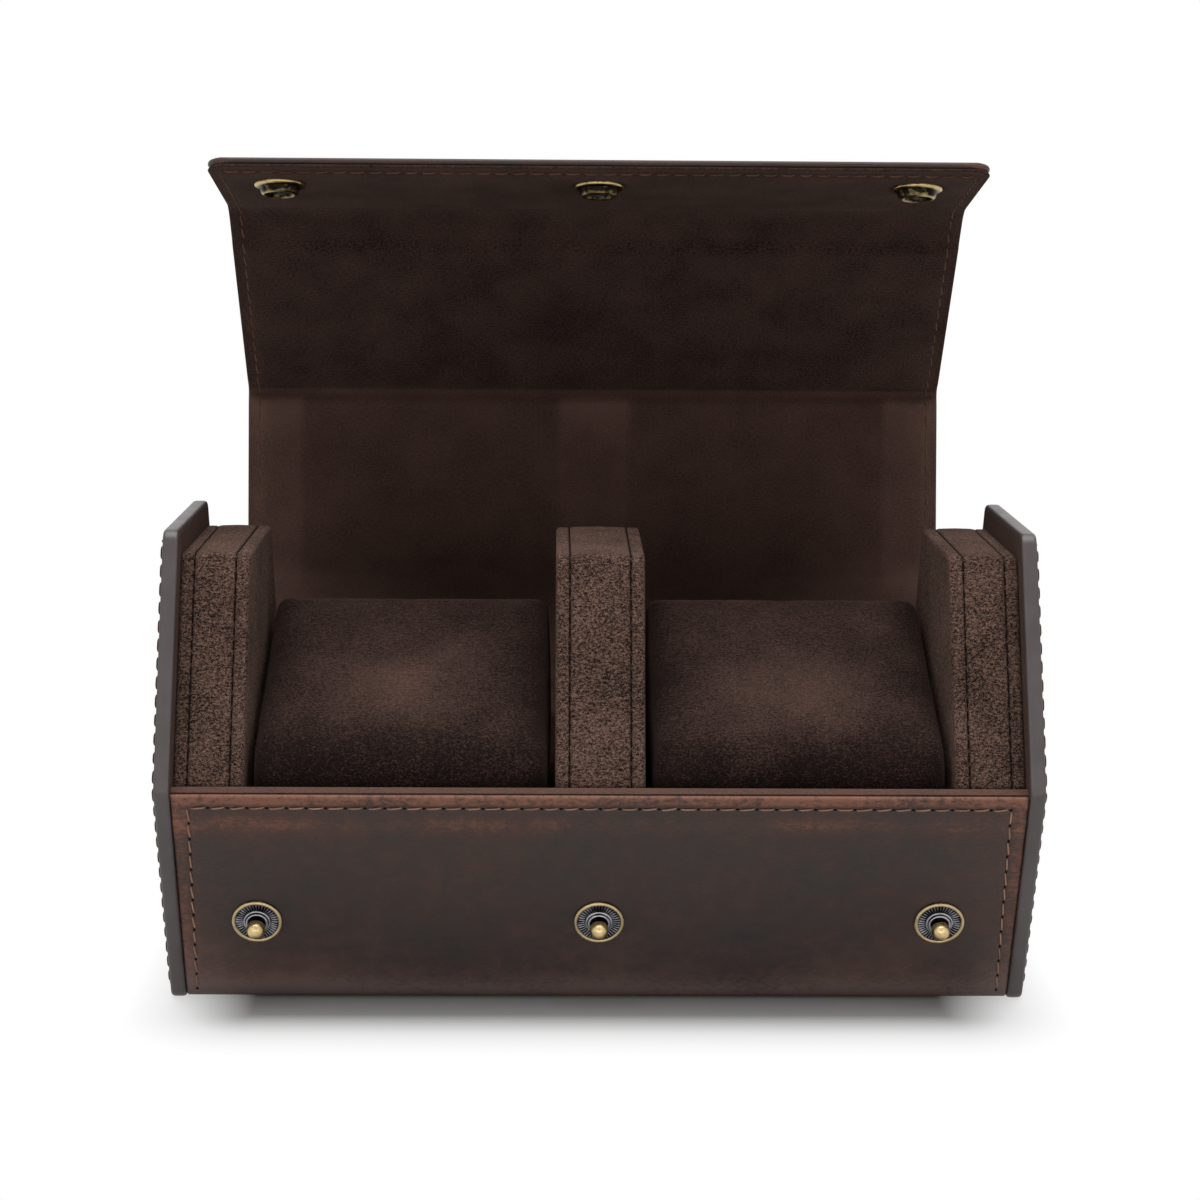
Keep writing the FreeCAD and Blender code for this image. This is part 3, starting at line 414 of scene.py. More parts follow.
# The end panels' stitches use a darker copy of the tan thread: painted shade on the stitches at the panels'
# edges.
shaded_end_thread = thread_material("shaded_end_thread", tint(58, 42, 34), tint(108, 82, 66))
STITCH_PITCH = 3.7
STITCH_LENGTH = 3.1
STITCH_RADIUS = 0.17
STITCH_RISE = 0.16
STITCH_BOW = 1.9
STITCH_ROWS = 9
STITCH_SIDES = 6
LEAN_SPREAD = 0.035
LENGTH_SPREAD = 0.05
HOLE_RADIUS = 0.34
HOLE_LIP = 0.05
HOLE_DEPTH = 0.2
HOLE_SIDES = 8
HOLE_OVAL = 0.8
# Near-black cups for the needle holes: painted shade in the holes.
needle_hole_shade = new_material("needle_hole_shade", 0.9, 0.1, Base_Color=tint(16, 11, 10))[0]


def needle_holes(name, centres, along, out, body):
    """Needle holes: shallow cups, near black as painted shade in the holes, half a pitch past the middles of
    the stitches, a little oval.
    """
    centres, along, out = (np.asarray(part, float) for part in (centres, along, out))
    ends = centres + along * STITCH_PITCH / 2
    side = np.cross(out, along)
    turn = np.linspace(0, 2 * np.pi, HOLE_SIDES + 1)[:-1]
    turn = turn[None, :, None]
    ring = np.cos(turn) * along[:, None] + HOLE_OVAL * np.sin(turn) * side[:, None]
    ring = ends[:, None] + HOLE_RADIUS * ring
    points = np.concatenate([ring + HOLE_LIP * out[:, None], ring - HOLE_DEPTH * out[:, None]], 1)
    index = np.arange(len(ends) * 2 * HOLE_SIDES).reshape(-1, 2, HOLE_SIDES)
    walls = [quads(one, wrap_columns=True) for one in index]
    return add_piece(name, points, [*walls, index[:, 0], index[:, 1, ::-1]], needle_hole_shade, body)


def stitch_row(
    name, centres, along, out, material, body, radius=STITCH_RADIUS, slant=0.06, seed=1, length=STITCH_LENGTH
):
    """Stitches: capsules along the seam, each bowed out in the middle and sunk in at both ends."""
    centres, along, out = (np.asarray(part, float) for part in (centres, along, out))
    drawn = np.random.default_rng(seed)
    side = np.cross(out, along)
    lean = (slant + drawn.normal(0, LEAN_SPREAD, len(centres)))[:, None]
    along = along + side * lean
    side = np.cross(out, along)
    run = np.linspace(-1, 1, STITCH_ROWS)
    turn = np.linspace(0, 2 * np.pi, STITCH_SIDES + 1)[:-1]
    thick = radius * np.sqrt(np.maximum(1 - np.abs(run) ** 5, 0.02))
    length = length / 2 * (1 + drawn.normal(0, LENGTH_SPREAD, len(centres)))
    rise = STITCH_RISE * (1 - STITCH_BOW * run**4)
    middle = run[None, :, None] * length[:, None, None] * along[:, None] + rise[None, :, None] * out[:, None]
    turn = turn[:, None, None, None]
    ring = np.cos(turn) * side[:, None] + np.sin(turn) * out[:, None]
    points = centres[:, None, None] + middle[:, :, None]
    points = points + np.moveaxis(ring, 0, 2) * thick[None, :, None, None]
    index = np.arange(points.size // 3).reshape(points.shape[:3])
    faces = [quads(one, wrap_columns=True) for one in index]
    faces += [index[:, 0], index[:, -1, ::-1]]
    return add_piece(name, points, faces, material, body)


def spaced(points, closed=False, pitch=STITCH_PITCH):
    """Evenly pitched places along a line of points, with the direction there."""
    points = np.asarray(points, float)
    if closed:
        points = np.concatenate([points, points[:1]])
    lengths = np.concatenate([[0], np.cumsum(np.linalg.norm(np.diff(points, axis=0), axis=1))])
    count = max(2, round(lengths[-1] / pitch))
    stops = (np.arange(count) + 0.5) * lengths[-1] / count
    near = np.stack([np.interp(stops, lengths, column) for column in points.T], 1)
    ahead = np.stack([np.interp(stops + 0.2, lengths, column) for column in points.T], 1)
    behind = np.stack([np.interp(stops - 0.2, lengths, column) for column in points.T], 1)
    along = ahead - behind
    return near, along / np.linalg.norm(along, axis=1, keepdims=True)


def block(name, outline, outward, centre, across, inset, reach, material, body, slot, **marks):
    """Closed body round an outline. Each row has a place across, an inset and a reach from the centre;
    the first and last rows have no reach and close the body in a point."""
    inset = np.broadcast_to(inset, (len(across), len(outline)))
    rim = outline[None] - inset[..., None] * outward[None]
    flat = centre + np.asarray(reach)[:, None, None] * (rim - centre)
    rows = np.broadcast_to(np.asarray(across, float).reshape(len(across), -1), inset.shape)
    points = np.concatenate([rows[..., None], flat], -1)
    ends = points[[0, -1]].mean(1)
    inner = points[1:-1]
    index = np.arange(inner.shape[0] * inner.shape[1]).reshape(inner.shape[:2])
    first, last = index.size, index.size + 1
    around = np.arange(inner.shape[1])
    after = np.roll(around, -1)
    caps = [
        np.stack([np.full(len(around), first), index[0, after], index[0, around]], 1),
        np.stack([np.full(len(around), last), index[-1, around], index[-1, after]], 1),
    ]
    marks = {
        key: np.concatenate([np.broadcast_to(m, inset.shape)[1:-1].ravel(), [np.mean(m[0]), np.mean(m[-1])]])
        for key, m in marks.items()
    }
    everything = np.concatenate([inner.reshape(-1, 3), ends])
    faces = [quads(index, wrap_columns=True), *caps]
    return add_piece(name, everything, faces, material, body, slot, **marks)


hexagon, hexagon_heading = bend_line(HEXAGON, PANEL_ROUND, 1.2, closed=True)
hexagon_out = -left_of(hexagon_heading)
FACE_REACH = np.array([0.0, 0.2, 0.4, 0.6, 0.8, 0.92, 0.98])
FACE_INSETS = np.array([2.9, 2.75, 2.6, 2.5, 2.4, 2.25, 2.05, 1.7, 1.3, 1.0, 0.8, 0.7])
stitch_dip = PANEL_SEAM_DEPTH * np.exp(-(((FACE_INSETS - PANEL_STITCH_INSET) / PANEL_SEAM_WIDTH) ** 2))
edge_drop = FACE_DROP * np.clip((DROP_FROM - FACE_INSETS) / DROP_OVER, 0, 1) ** 2
rim_turn = np.linspace(0, 2 * np.pi, 25)[:-1]
rim_across = np.sign(np.cos(rim_turn)) * np.abs(np.cos(rim_turn)) ** RIM_SQUARE
rim_inset = RIM_DEPTH / 2 * (1 - np.sign(np.sin(rim_turn)) * np.abs(np.sin(rim_turn)) ** RIM_SQUARE)
for side, label in ((-1, "left"), (1, "right")):
    middle = (PANEL_INNER + PANEL_OUTER) / 2
    rim = hexagon[None] - rim_inset[:, None, None] * hexagon_out[None]
    across = side * (middle + (PANEL_OUTER - PANEL_INNER) / 2 * rim_across)
    points = np.concatenate([np.broadcast_to(across[:, None, None], (*rim.shape[:2], 1)), rim], -1)
    index = np.arange(rim.shape[0] * rim.shape[1]).reshape(rim.shape[:2])
    edge = add_piece(f"{label}_end_edge", points, [quads(index, True, True)], edge_paint, "case", "leather")
    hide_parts(f"{label}_end_board")
    reach = np.concatenate([FACE_REACH, np.ones(len(FACE_INSETS)), [1.0, 0.5, 0.0]])
    inset = np.concatenate([np.full(len(FACE_REACH), FACE_INSETS[0]), FACE_INSETS, [0.9, 2.0, 2.0]])
    wear = 0.85 * np.exp(-inset / 1.6) * reach + 0.12 * reach
    rubbed = {"wear": wear[:, None]}
    even = {"mark": np.zeros((len(inset), 1))}
    for layer, outer, top, thick, material, slot, dip, marks in (
        ("leather", 1, PANEL_OUTER, FACE_LEATHER, case_leather, "leather", stitch_dip, rubbed),
        ("lining", -1, PANEL_INNER, FACE_LINING, case_suede, "suede", 0.0, even),
    ):
        dipped = top - outer * (dip + edge_drop)
        heights = np.concatenate([np.full(len(FACE_REACH), top), dipped, np.full(3, top - outer * thick)])
        face = block(
            f"{label}_end_{layer}_face", hexagon, hexagon_out, PANEL_CENTRE, side * heights,
            inset[:, None], reach, material, "case", slot, **marks,
        )
        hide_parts(f"{label}_end_{layer}")
    near, along = spaced(hexagon - PANEL_STITCH_INSET * hexagon_out, closed=True)
    centres = np.column_stack([np.full(len(near), side * (PANEL_OUTER + PANEL_STITCH_PROUD)), near])
    along = np.column_stack([np.zeros(len(near)), along])
    out = np.tile([side, 0.0, 0.0], (len(near), 1))
    stitch_row(
        f"{label}_end_stitches", centres, along, out, shaded_end_thread, "case", PANEL_STITCH_RADIUS, seed=5 + side
    )

# Shell and lid leather: one long strip of waxed leather. It makes the front wall, the bottom and the back
# wall, and goes on over the back edge as the lid, bent at four creases, with a raw, rubbed edge.
HINGE, TOP_CREASE, FRONT_CREASE, FLAP_CREASE = (
    np.array(joint["pos_m"][1:]) / MM for joint in frame["joints"] if joint["type"] == "hinge"
)
BELT = np.array(HEXAGON[5])
FRONT_SLOPE = BELT - HEXAGON[0]
SLOPE_UP = FRONT_SLOPE / math.hypot(*FRONT_SLOPE)
SLOPE_IN = np.array([SLOPE_UP[1], -SLOPE_UP[0]])
WALL_TOP = 1.22
WALL_OUT = 0.6
LEATHER = 1.4
LEATHER_INSET = WALL_OUT + LEATHER / 2
SHELL_HALF = 82.0
LID_HALF = 81.0
FLAP_LENGTH = 40.07
FLAP_ANGLE = math.radians(167.0)
FLAP_ROUND = 5.0
BOTTOM_BEND = 2.4
HINGE_BEND = 3.0
TOP_BEND = 10.0
FRONT_BEND = 4.5
FLAP_BEND = 12.0
HINGE_LEAD = 14.0
LID_LEATHER = 1.3
THIN_BEFORE = 8.0
NARROW_BEFORE = 9.0
NARROW_OVER = 6.0
LEATHER_STEP = 1.1


def on_front(inset, below):
    """Point of the front wall's section at an inset from the hexagon, a distance below the belt."""
    return BELT + inset * SLOPE_IN - below * SLOPE_UP


def at_height(inset, height):
    """Point of the front wall's section at an inset and a height."""
    top = on_front(inset, 0.0)
    return top - SLOPE_UP * (top[1] - height) / SLOPE_UP[1]


front_foot = at_height(LEATHER_INSET, LEATHER / 2)
flap_end = FLAP_CREASE + FLAP_LENGTH * np.array([math.cos(FLAP_ANGLE), math.sin(FLAP_ANGLE)])
strip_points, strip_heading = bend_line(
    [
        on_front(LEATHER_INSET, WALL_TOP), front_foot, front_foot * [-1, 1],
        HINGE, TOP_CREASE, FRONT_CREASE, FLAP_CREASE, flap_end,
    ],
    [0, BOTTOM_BEND, BOTTOM_BEND, HINGE_BEND, TOP_BEND, FRONT_BEND, FLAP_BEND, 0],
    1.0,
)
strip_run = np.concatenate([[0], np.cumsum(np.linalg.norm(np.diff(strip_points, axis=0), axis=1))])


def strip_stop(point):
    """Length along the strip that lies nearest to a point."""
    return strip_run[np.argmin(np.linalg.norm(strip_points - point, axis=1))]


HINGE_STOP, TOP_STOP, FRONT_STOP, FLAP_STOP = map(strip_stop, (HINGE, TOP_CREASE, FRONT_CREASE, FLAP_CREASE))
END_STOP = strip_run[-1]
FOOT_STOP = strip_stop(front_foot)
BACK_FOOT_STOP = strip_stop(front_foot * [-1, 1])
CUTS = [
    0.0,
    HINGE_STOP - HINGE_LEAD,
    (HINGE_STOP + TOP_STOP) / 2,
    (TOP_STOP + FRONT_STOP) / 2,
    (FRONT_STOP + FLAP_STOP) / 2,
    END_STOP,
]
FINE = np.array([0.0, 0.05, 0.14, 0.28, 0.46, 0.7, 1.05, 1.5, 2.0, 2.35, 2.6, 2.85, 3.2, 3.8, 4.6])


def spread(low, high, step, fine_low=True, fine_high=True):
    """Places from low to high, a step apart, close together near the ends that are free edges."""
    start = low + (FINE[-1] if fine_low else 0.0)
    stop = high - (FINE[-1] if fine_high else 0.0)
    parts = [low + FINE[:-1]] if fine_low else []
    parts.append(np.linspace(start, stop, max(3, int((stop - start) / step) + 1)))
    if fine_high:
        parts.append((high - FINE[:-1])[::-1])
    return np.concatenate(parts)


def on_strip(stops, across, offset):
    """Points at lengths along the strip, places across it and offsets to its inner side."""
    near = np.stack([np.interp(stops, strip_run, column) for column in strip_points.T], -1)
    inward = left_of(np.interp(stops, strip_run, strip_heading))
    offset = np.broadcast_to(offset, (len(stops), across.shape[-1]))
    flat = near[:, None] + inward[:, None] * offset[..., None]
    across = np.broadcast_to(across, flat.shape[:2])
    return np.concatenate([across[..., None], flat], -1)


def rounded_edge(distance, radius):
    """Share of a sheet's thickness near a free edge: a half-round."""
    return np.sqrt(np.maximum(1 - np.clip(1 - distance / radius, 0, 1) ** 2, 0.006))


def sheet_between(name, upper, lower, material, body, slot, uv, **marks):
    """Closed sheet from an upper and a lower skin on the same grid, joined round the border."""
    shape = upper.shape[:2]
    top = np.arange(shape[0] * shape[1]).reshape(shape)
    bottom = top + top.size

    def border(index):
        """Point numbers round the border of a grid, in order."""
        return np.concatenate([index[0, :-1], index[:-1, -1], index[-1, :0:-1], index[:0:-1, 0]])

    walls = quads(np.stack([border(top), border(bottom)]), wrap_columns=True)
    faces = [quads(top), quads(bottom)[:, ::-1], walls]
    points = np.concatenate([upper.reshape(-1, 3), lower.reshape(-1, 3)])
    marks = {key: np.tile(np.broadcast_to(m, shape).ravel(), 2) for key, m in marks.items()}
    return add_piece(name, points, faces, material, body, slot, np.tile(uv.reshape(-1, 2), (2, 1)), **marks)


def strip_width(stops):
    """Half width of the strip: the shell's, then the lid's, with round corners at the flap's end."""
    lid = np.clip((stops - (HINGE_STOP - NARROW_BEFORE)) / NARROW_OVER, 0, 1)
    width = SHELL_HALF + (LID_HALF - SHELL_HALF) * lid
    corner = np.clip(stops - (END_STOP - FLAP_ROUND), 0, FLAP_ROUND)
    return width - (FLAP_ROUND - np.sqrt(np.maximum(FLAP_ROUND**2 - corner**2, 0)))


def near_line(stops, line, width):
    """Soft band about a line across the strip: a bell curve that is 1 on the line."""
    return np.exp(-(((stops - line) / width) ** 2))


lid_leather = leather_material("lid_leather", LEATHER_DARK, LEATHER_WARM, LEATHER_WORN, "UV")
FRONT_STITCH_DROP = 2.6
SIDE_STITCH_TOP = 3.4
SIDE_STITCH_FOOT = 2.2
LID_STITCH_INSET = 2.6
LID_STITCH_START = 4.0
STITCH_SINK = 0.1
STITCH_SLANT = 0.1


def side_stitch(stops):
    """Inset of the side seams from the ends of the front wall, narrowing towards the bottom."""
    share = np.clip(stops / FOOT_STOP, 0, 1)
    return SIDE_STITCH_TOP + (SIDE_STITCH_FOOT - SIDE_STITCH_TOP) * share


strip_names = ["wrap_leather", "hinge_leather", "top_leather", "front_leather", "flap_leather"]
strip_bodies = ["case", "lid_back", "lid_top", "lid_front", "lid_flap"]
LAST_PIECE = len(strip_names) - 1
CREASES = [HINGE_STOP, TOP_STOP, FRONT_STOP, FLAP_STOP]


def blend_at(piece):
    """Bakes a piece of the strip's placement into its points."""
    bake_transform(piece)


def seam_places(number):
    """Stitches of a piece of the strip: length along it, place across it, 1 where the row runs across."""
    if number == 0:
        reach = SHELL_HALF - SIDE_STITCH_TOP
        row = np.linspace(-reach, reach, round(2 * reach / STITCH_PITCH) + 1)
        across = [(FRONT_STITCH_DROP, x, 1) for x in (row[1:] + row[:-1]) / 2]
        stops = np.arange(FRONT_STITCH_DROP + STITCH_PITCH / 2, FOOT_STOP - 0.5, STITCH_PITCH)
        sides = [(s, end * (SHELL_HALF - side_stitch(s)), 0) for s in stops for end in (-1, 1)]
        return np.array(across + sides)
    low = max(CUTS[number], HINGE_STOP + LID_STITCH_START)
    high = min(CUTS[number + 1], END_STOP - FLAP_ROUND)
    stops = np.arange(math.ceil(low / STITCH_PITCH), math.ceil(high / STITCH_PITCH)) * STITCH_PITCH
    places = [(s, end * (LID_HALF - LID_STITCH_INSET), 0) for s in stops for end in (-1, 1)]
    if number == LAST_PIECE:
        reach = LID_HALF - FLAP_ROUND
        row = np.linspace(-reach, reach, round(2 * reach / STITCH_PITCH) + 1)
        places += [(END_STOP - LID_STITCH_INSET, x, 1) for x in row]
    return np.array(places)


def sew(name, number, places, offset, side, thread, holes=True):
    """Stitches and needle holes on the strip, at an offset from its middle, facing in (1) or out (-1)."""
    stops, across, turned = places.T
    heading = np.interp(stops, strip_run, strip_heading)
    inward = np.column_stack([np.zeros(len(stops)), left_of(heading)])
    forward = np.column_stack([np.zeros(len(stops)), np.cos(heading), np.sin(heading)])
    along = np.where(turned[:, None] > 0, np.array([1.0, 0, 0]), forward)
    near = np.column_stack([across, *(np.interp(stops, strip_run, column) for column in strip_points.T)])
    centres = near + inward * np.broadcast_to(offset, stops.shape)[:, None]
    outward = side * inward
    body = "case" if number == 0 else None
    stitches = stitch_row(
        f"{name}_stitches", centres, along, outward, thread, body, slant=STITCH_SLANT, seed=20 + number
    )
    rows = [stitches]
    if holes:
        rows.append(needle_holes(f"{name}_needle_holes", centres, along, outward, body))
    for row in rows if number else []:
        blend_at(row)
    return rows


def smooth_step(share):
    """A share held between 0 and 1 and eased at both: three times its square less twice its cube."""
    share = np.clip(share, 0, 1)
    return share * share * (3 - 2 * share)


def edge_band(distance, width):
    """Wear that is even up to a quarter of the width from an edge, and eases out at the whole width."""
    return smooth_step((width - distance) / (0.75 * width))


def bands(stops, lines):
    """Sum of soft bands across the strip, each with its share, place and width."""
    return sum(share * near_line(stops, place, width) for share, place, width in lines)


front_thread = thread_material("front_thread", tint(120, 90, 74), tint(190, 152, 130))
SIDE_EASE = 0.6
END_EASE = 0.7
SEAM_FADE = 2.0
STRIP_SEAM_WIDTH = 0.3
STRIP_SEAM_DEPTH = 0.16
TOP_LIP = 2.2
TOP_BAND = 4.0
RAW_EDGE = 0.8
SIDE_BAND = 1.2
SIDE_FADE = 8.0
LID_RAW_EDGE = 1.2
FOLDS = (FOOT_STOP, BACK_FOOT_STOP, *CREASES)
# Worn bands across the strip: wear near the top edge and along every fold. The wide band low on the front
# wall, by the foot, is partly wear and partly painted light.
WORN_AND_LIT_BANDS = [(0.3, 6.4, 2.2), (0.18, FOOT_STOP - 2.0, 5.0)]
WORN_AND_LIT_BANDS += [(share, fold, width) for fold in FOLDS for share, width in ((0.2, 2.2), (0.14, 6.0))]
# Bands of painted floor reflection, low on the front wall just above the foot.
FLOOR_REFLECTION_BANDS = [(0.6, FOOT_STOP - 1.0, 3.2), (0.3, FOOT_STOP - 5.0, 9.0)]
for number, name in enumerate(strip_names):
    low, high = CUTS[number], CUTS[number + 1]
    stops = spread(low, high, LEATHER_STEP, number == 0, number == LAST_PIECE)
    width = strip_width(stops)
    across = spread(-LID_HALF, LID_HALF, 2 * LEATHER_STEP)[None] / LID_HALF * width[:, None]
    from_side = width[:, None] - np.abs(across)
    from_end = np.minimum(stops, END_STOP - stops)[:, None]
    ease = rounded_edge(from_side, SIDE_EASE) * rounded_edge(from_end, END_EASE)
    thick = np.where(stops < HINGE_STOP - THIN_BEFORE, LEATHER, LID_LEATHER)[:, None] / 2 * ease
    on_lid = np.clip((stops - HINGE_STOP) / SEAM_FADE, 0, 1)[:, None]
    on_wall = np.clip((FOOT_STOP - stops) / SEAM_FADE, 0, 1)[:, None]
    front_inset = side_stitch(stops)[:, None]
    sewn = np.where(on_lid > 0, np.minimum(from_side, from_end) - LID_STITCH_INSET, from_side - front_inset)
    seam = near_line(sewn, 0.0, STRIP_SEAM_WIDTH) * np.maximum(on_lid, on_wall)
    top_seam = near_line(stops[:, None], FRONT_STITCH_DROP, STRIP_SEAM_WIDTH) * (from_side > front_inset)
    seam = np.maximum(seam, top_seam)
    rub = 0.42 * smooth_step((TOP_LIP - stops) / RAW_EDGE) + 0.24 * edge_band(stops, TOP_BAND)
    rub = rub + 0.22 * np.exp(-stops / RAW_EDGE) + 0.15 * np.exp((stops - END_STOP) / RAW_EDGE)
    rub = rub + bands(stops, WORN_AND_LIT_BANDS)
    # Painted reflection of the floor, as a mark on the points.
    floor_reflection = bands(stops, FLOOR_REFLECTION_BANDS)
    side_rub = 0.2 * edge_band(from_side, front_inset + SIDE_BAND) + 0.24 * np.exp(-from_side / SIDE_FADE)
    rub = rub[:, None] + on_wall * side_rub + on_lid * 0.15 * np.exp(-from_side / LID_RAW_EDGE)
    upper = on_strip(stops, across, thick)
    lower = on_strip(stops, across, STRIP_SEAM_DEPTH * seam - thick)
    uv = np.stack([across, np.broadcast_to(stops[:, None], across.shape)], -1)
    body = None if number else "case"
    marks = {"wear": rub, "floor_reflection": floor_reflection[:, None]}
    piece = sheet_between(name, upper, lower, lid_leather, body, "leather", uv, **marks)
    if number:
        blend_at(piece)
        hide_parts(f"{strip_bodies[number]}_leather")
    else:
        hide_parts("shell_leather")
    thread = case_thread if number else front_thread
    seams = sew(name, number, seam_places(number), STITCH_SINK - LEATHER / 2, -1, thread)

# Trough lining: suede glued over the boards. It is turned over the top of the front board, so that a thin
# strip of it shows behind the leather's edge, and it runs down, across the floor and up the back wall.
LINING = 0.8
LINING_INSET = 4.4
FLOOR_MIDDLE = 3.8
LINING_BEND = 1.6
TURN_INSET = 2.1
TURN_BEND = 0.8
TURNED_STRIP = 4.0
TURNED_MARK = 0.45
back_cut = on_strip(np.array([CUTS[1]]), np.zeros(1), LINING_INSET - LEATHER_INSET)[0, 0, 1:]
trough_foot = at_height(LINING_INSET, FLOOR_MIDDLE)
trough_points, trough_heading = bend_line(
    [
        on_front(TURN_INSET, WALL_TOP + LINING / 2), on_front(LINING_INSET, WALL_TOP + LINING / 2),
        trough_foot, trough_foot * [-1, 1], back_cut,
    ],
    [0, TURN_BEND, LINING_BEND, LINING_BEND, 0],
    1.2,
)
trough_run = np.concatenate([[0], np.cumsum(np.linalg.norm(np.diff(trough_points, axis=0), axis=1))])
trough_across = spread(-SHELL_HALF, SHELL_HALF, 2.0)
trough_in = left_of(trough_heading)


def trough_skin(offset):
    """One skin of the trough's lining, at an offset to its inner side."""
    flat = trough_points[:, None] + trough_in[:, None] * offset
    flat = np.broadcast_to(flat, (len(trough_run), len(trough_across), 2))
    across = np.broadcast_to(trough_across, flat.shape[:2])
    return np.concatenate([across[..., None], flat], -1)


trough_uv = np.stack(np.meshgrid(trough_across, trough_run), -1)
trough_mark = TURNED_MARK * (trough_run[:, None] < TURNED_STRIP)
trough = sheet_between(
    "trough_lining", trough_skin(LINING / 2), trough_skin(-LINING / 2), case_suede, "case", "suede",
    trough_uv, mark=trough_mark,
)
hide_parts("shell_lining")

# Lid lining: the same suede over the lid's boards. It dips to the leather along the creases and the sewn
# edges, and its nap keeps pale prints where the dividers press on it in the closed case. Under the snap
# sockets it is pressed flat, which leaves room for the balls.
LID_SKIN = 0.65
SNAP_PLACES = np.array([-66.9, 0.0, 66.9])
SOCKET_REACH = 27.574
SOCKET_STOP = END_STOP - FLAP_LENGTH + SOCKET_REACH
PRESSED_RADIUS = 4.4
PRESSED_MIDDLE = LID_SKIN + 0.06
PRESSED_SHARE = 0.9
PADS = [
    (HINGE_STOP + 2.6, FRONT_STOP - 1.4, 1.5),
    (FRONT_STOP + 1.4, FRONT_STOP + 47.0, 1.5),
    (FLAP_STOP + 1.0, END_STOP - 1.0, 0.8),
]
PAD_EASE = 2.2
SEWN_MARGIN = 0.8
SEWN_EDGE = 3.6
EDGE_SHARE = 0.25
END_FALL = 4.0
WALL_END = 0.6
WALL_EASE = 2.4
GLUE = 0.03
LINING_STEP = 0.9
LINING_SIDE_EASE = 0.5
LINING_END_EASE = 0.6
LINING_SEAM_WIDTH = 0.35
LINING_SEAM_DEPTH = 0.15
DIVIDER_PRINTS = [(-75.2, 6.8), (0.0, 8.7), (75.2, 6.8)]
PRINT_EDGE = 0.8
PRINT_LEAD = 14.0
PRINT_RISE = 10.0
PRINT_END = 1.5
PRINT_FALL = 2.0
PRINT_FAINT = 0.3
PRINT_FRESH = 9.0
lid_suede = suede_material("lid_suede", SUEDE_DARK, SUEDE_LIGHT, "UV", 0.8)
lid_thread = thread_material("lid_thread", tint(74, 53, 42), tint(126, 94, 75))


def lining_offset(stops, from_side):
    """Middle of the lining above the leather's: the wall's at the back, then the pads over the boards."""
    lift = sum(
        rise * smooth_step((stops - start) / PAD_EASE) * smooth_step((stop - stops) / PAD_EASE)
        for start, stop, rise in PADS
    )
    edge = EDGE_SHARE + (1 - EDGE_SHARE) * smooth_step((from_side - SEWN_MARGIN) / SEWN_EDGE)
    end = smooth_step((END_STOP - stops) / END_FALL)
    wall = LINING_INSET - LEATHER_INSET - LID_SKIN - LINING / 2
    wall = wall * smooth_step((HINGE_STOP - WALL_END - stops) / WALL_EASE)
    return LID_SKIN + LINING / 2 + GLUE + lift * end * edge + wall


def snap_distance(across, along):
    """Distance to the nearest snap."""
    return np.min([np.hypot(across - place, along) for place in SNAP_PLACES], axis=0)


lining_names = ["hinge_lining", "top_lining", "front_lining", "flap_lining"]
for number, name in enumerate(lining_names, start=1):
    low, high = CUTS[number], CUTS[number + 1]
    stops = spread(low, high, LINING_STEP, False, number == LAST_PIECE)
    width = strip_width(stops)
    across = spread(-LID_HALF, LID_HALF, 2 * LINING_STEP)[None] / LID_HALF * width[:, None]
    from_side = width[:, None] - np.abs(across)
    from_end = (END_STOP - stops)[:, None]
    ease = rounded_edge(from_side, LINING_SIDE_EASE) * rounded_edge(from_end, LINING_END_EASE)
    middle = lining_offset(stops[:, None], from_side)
    from_snap = snap_distance(across, stops[:, None] - SOCKET_STOP)
    pressed = smooth_step(PRESSED_RADIUS - from_snap)
    middle = middle + pressed * (PRESSED_MIDDLE - middle)
    half = LINING / 2 * ease * (1 - PRESSED_SHARE * pressed)
    sewn = np.minimum(from_side, from_end) - LID_STITCH_INSET
    dip = LINING_SEAM_DEPTH * near_line(sewn, 0.0, LINING_SEAM_WIDTH) * (stops > HINGE_STOP)[:, None]
    upper = on_strip(stops, across, middle + half - dip)
    lower = on_strip(stops, across, middle - half)
    inside = [
        (reach + PRINT_EDGE - np.abs(across - place)) / (2 * PRINT_EDGE) for place, reach in DIVIDER_PRINTS
    ]
    prints = sum(map(smooth_step, inside))
    on_top = smooth_step((stops - TOP_STOP + PRINT_LEAD) / PRINT_RISE)
    on_top = on_top * smooth_step((FRONT_STOP - PRINT_END - stops) / PRINT_FALL)
    fresh = PRINT_FAINT + (1 - PRINT_FAINT) * near_line(stops, FRONT_STOP, PRINT_FRESH)
    # Painted shade: the lining is paler up to the front crease, and darker past it and on the flap, which
    # face down and forward.
    past_front = smooth_step((stops - FRONT_STOP) / 1.5)
    past_flap = smooth_step((stops - FLAP_STOP) / 9.0)
    shade = 0.14 - 0.32 * past_front - 0.06 * past_flap
    mark = 0.4 * prints * (on_top * fresh)[:, None] + 0.12 * np.exp(-from_end / 5.0) + shade[:, None]
    uv = np.stack([across, np.broadcast_to(stops[:, None], across.shape)], -1)
    piece = sheet_between(name, upper, lower, lid_suede, None, "suede", uv, mark=mark)
    blend_at(piece)
    panel = strip_bodies[number]
    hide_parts(f"{panel}_lining", f"{panel}_board")
    places = seam_places(number)
    lift = lining_offset(places[:, 0], strip_width(places[:, 0]) - np.abs(places[:, 1]))
    seams = sew(name, number, places, lift + LINING / 2 - LINING_SEAM_DEPTH, 1, lid_thread, holes=False)

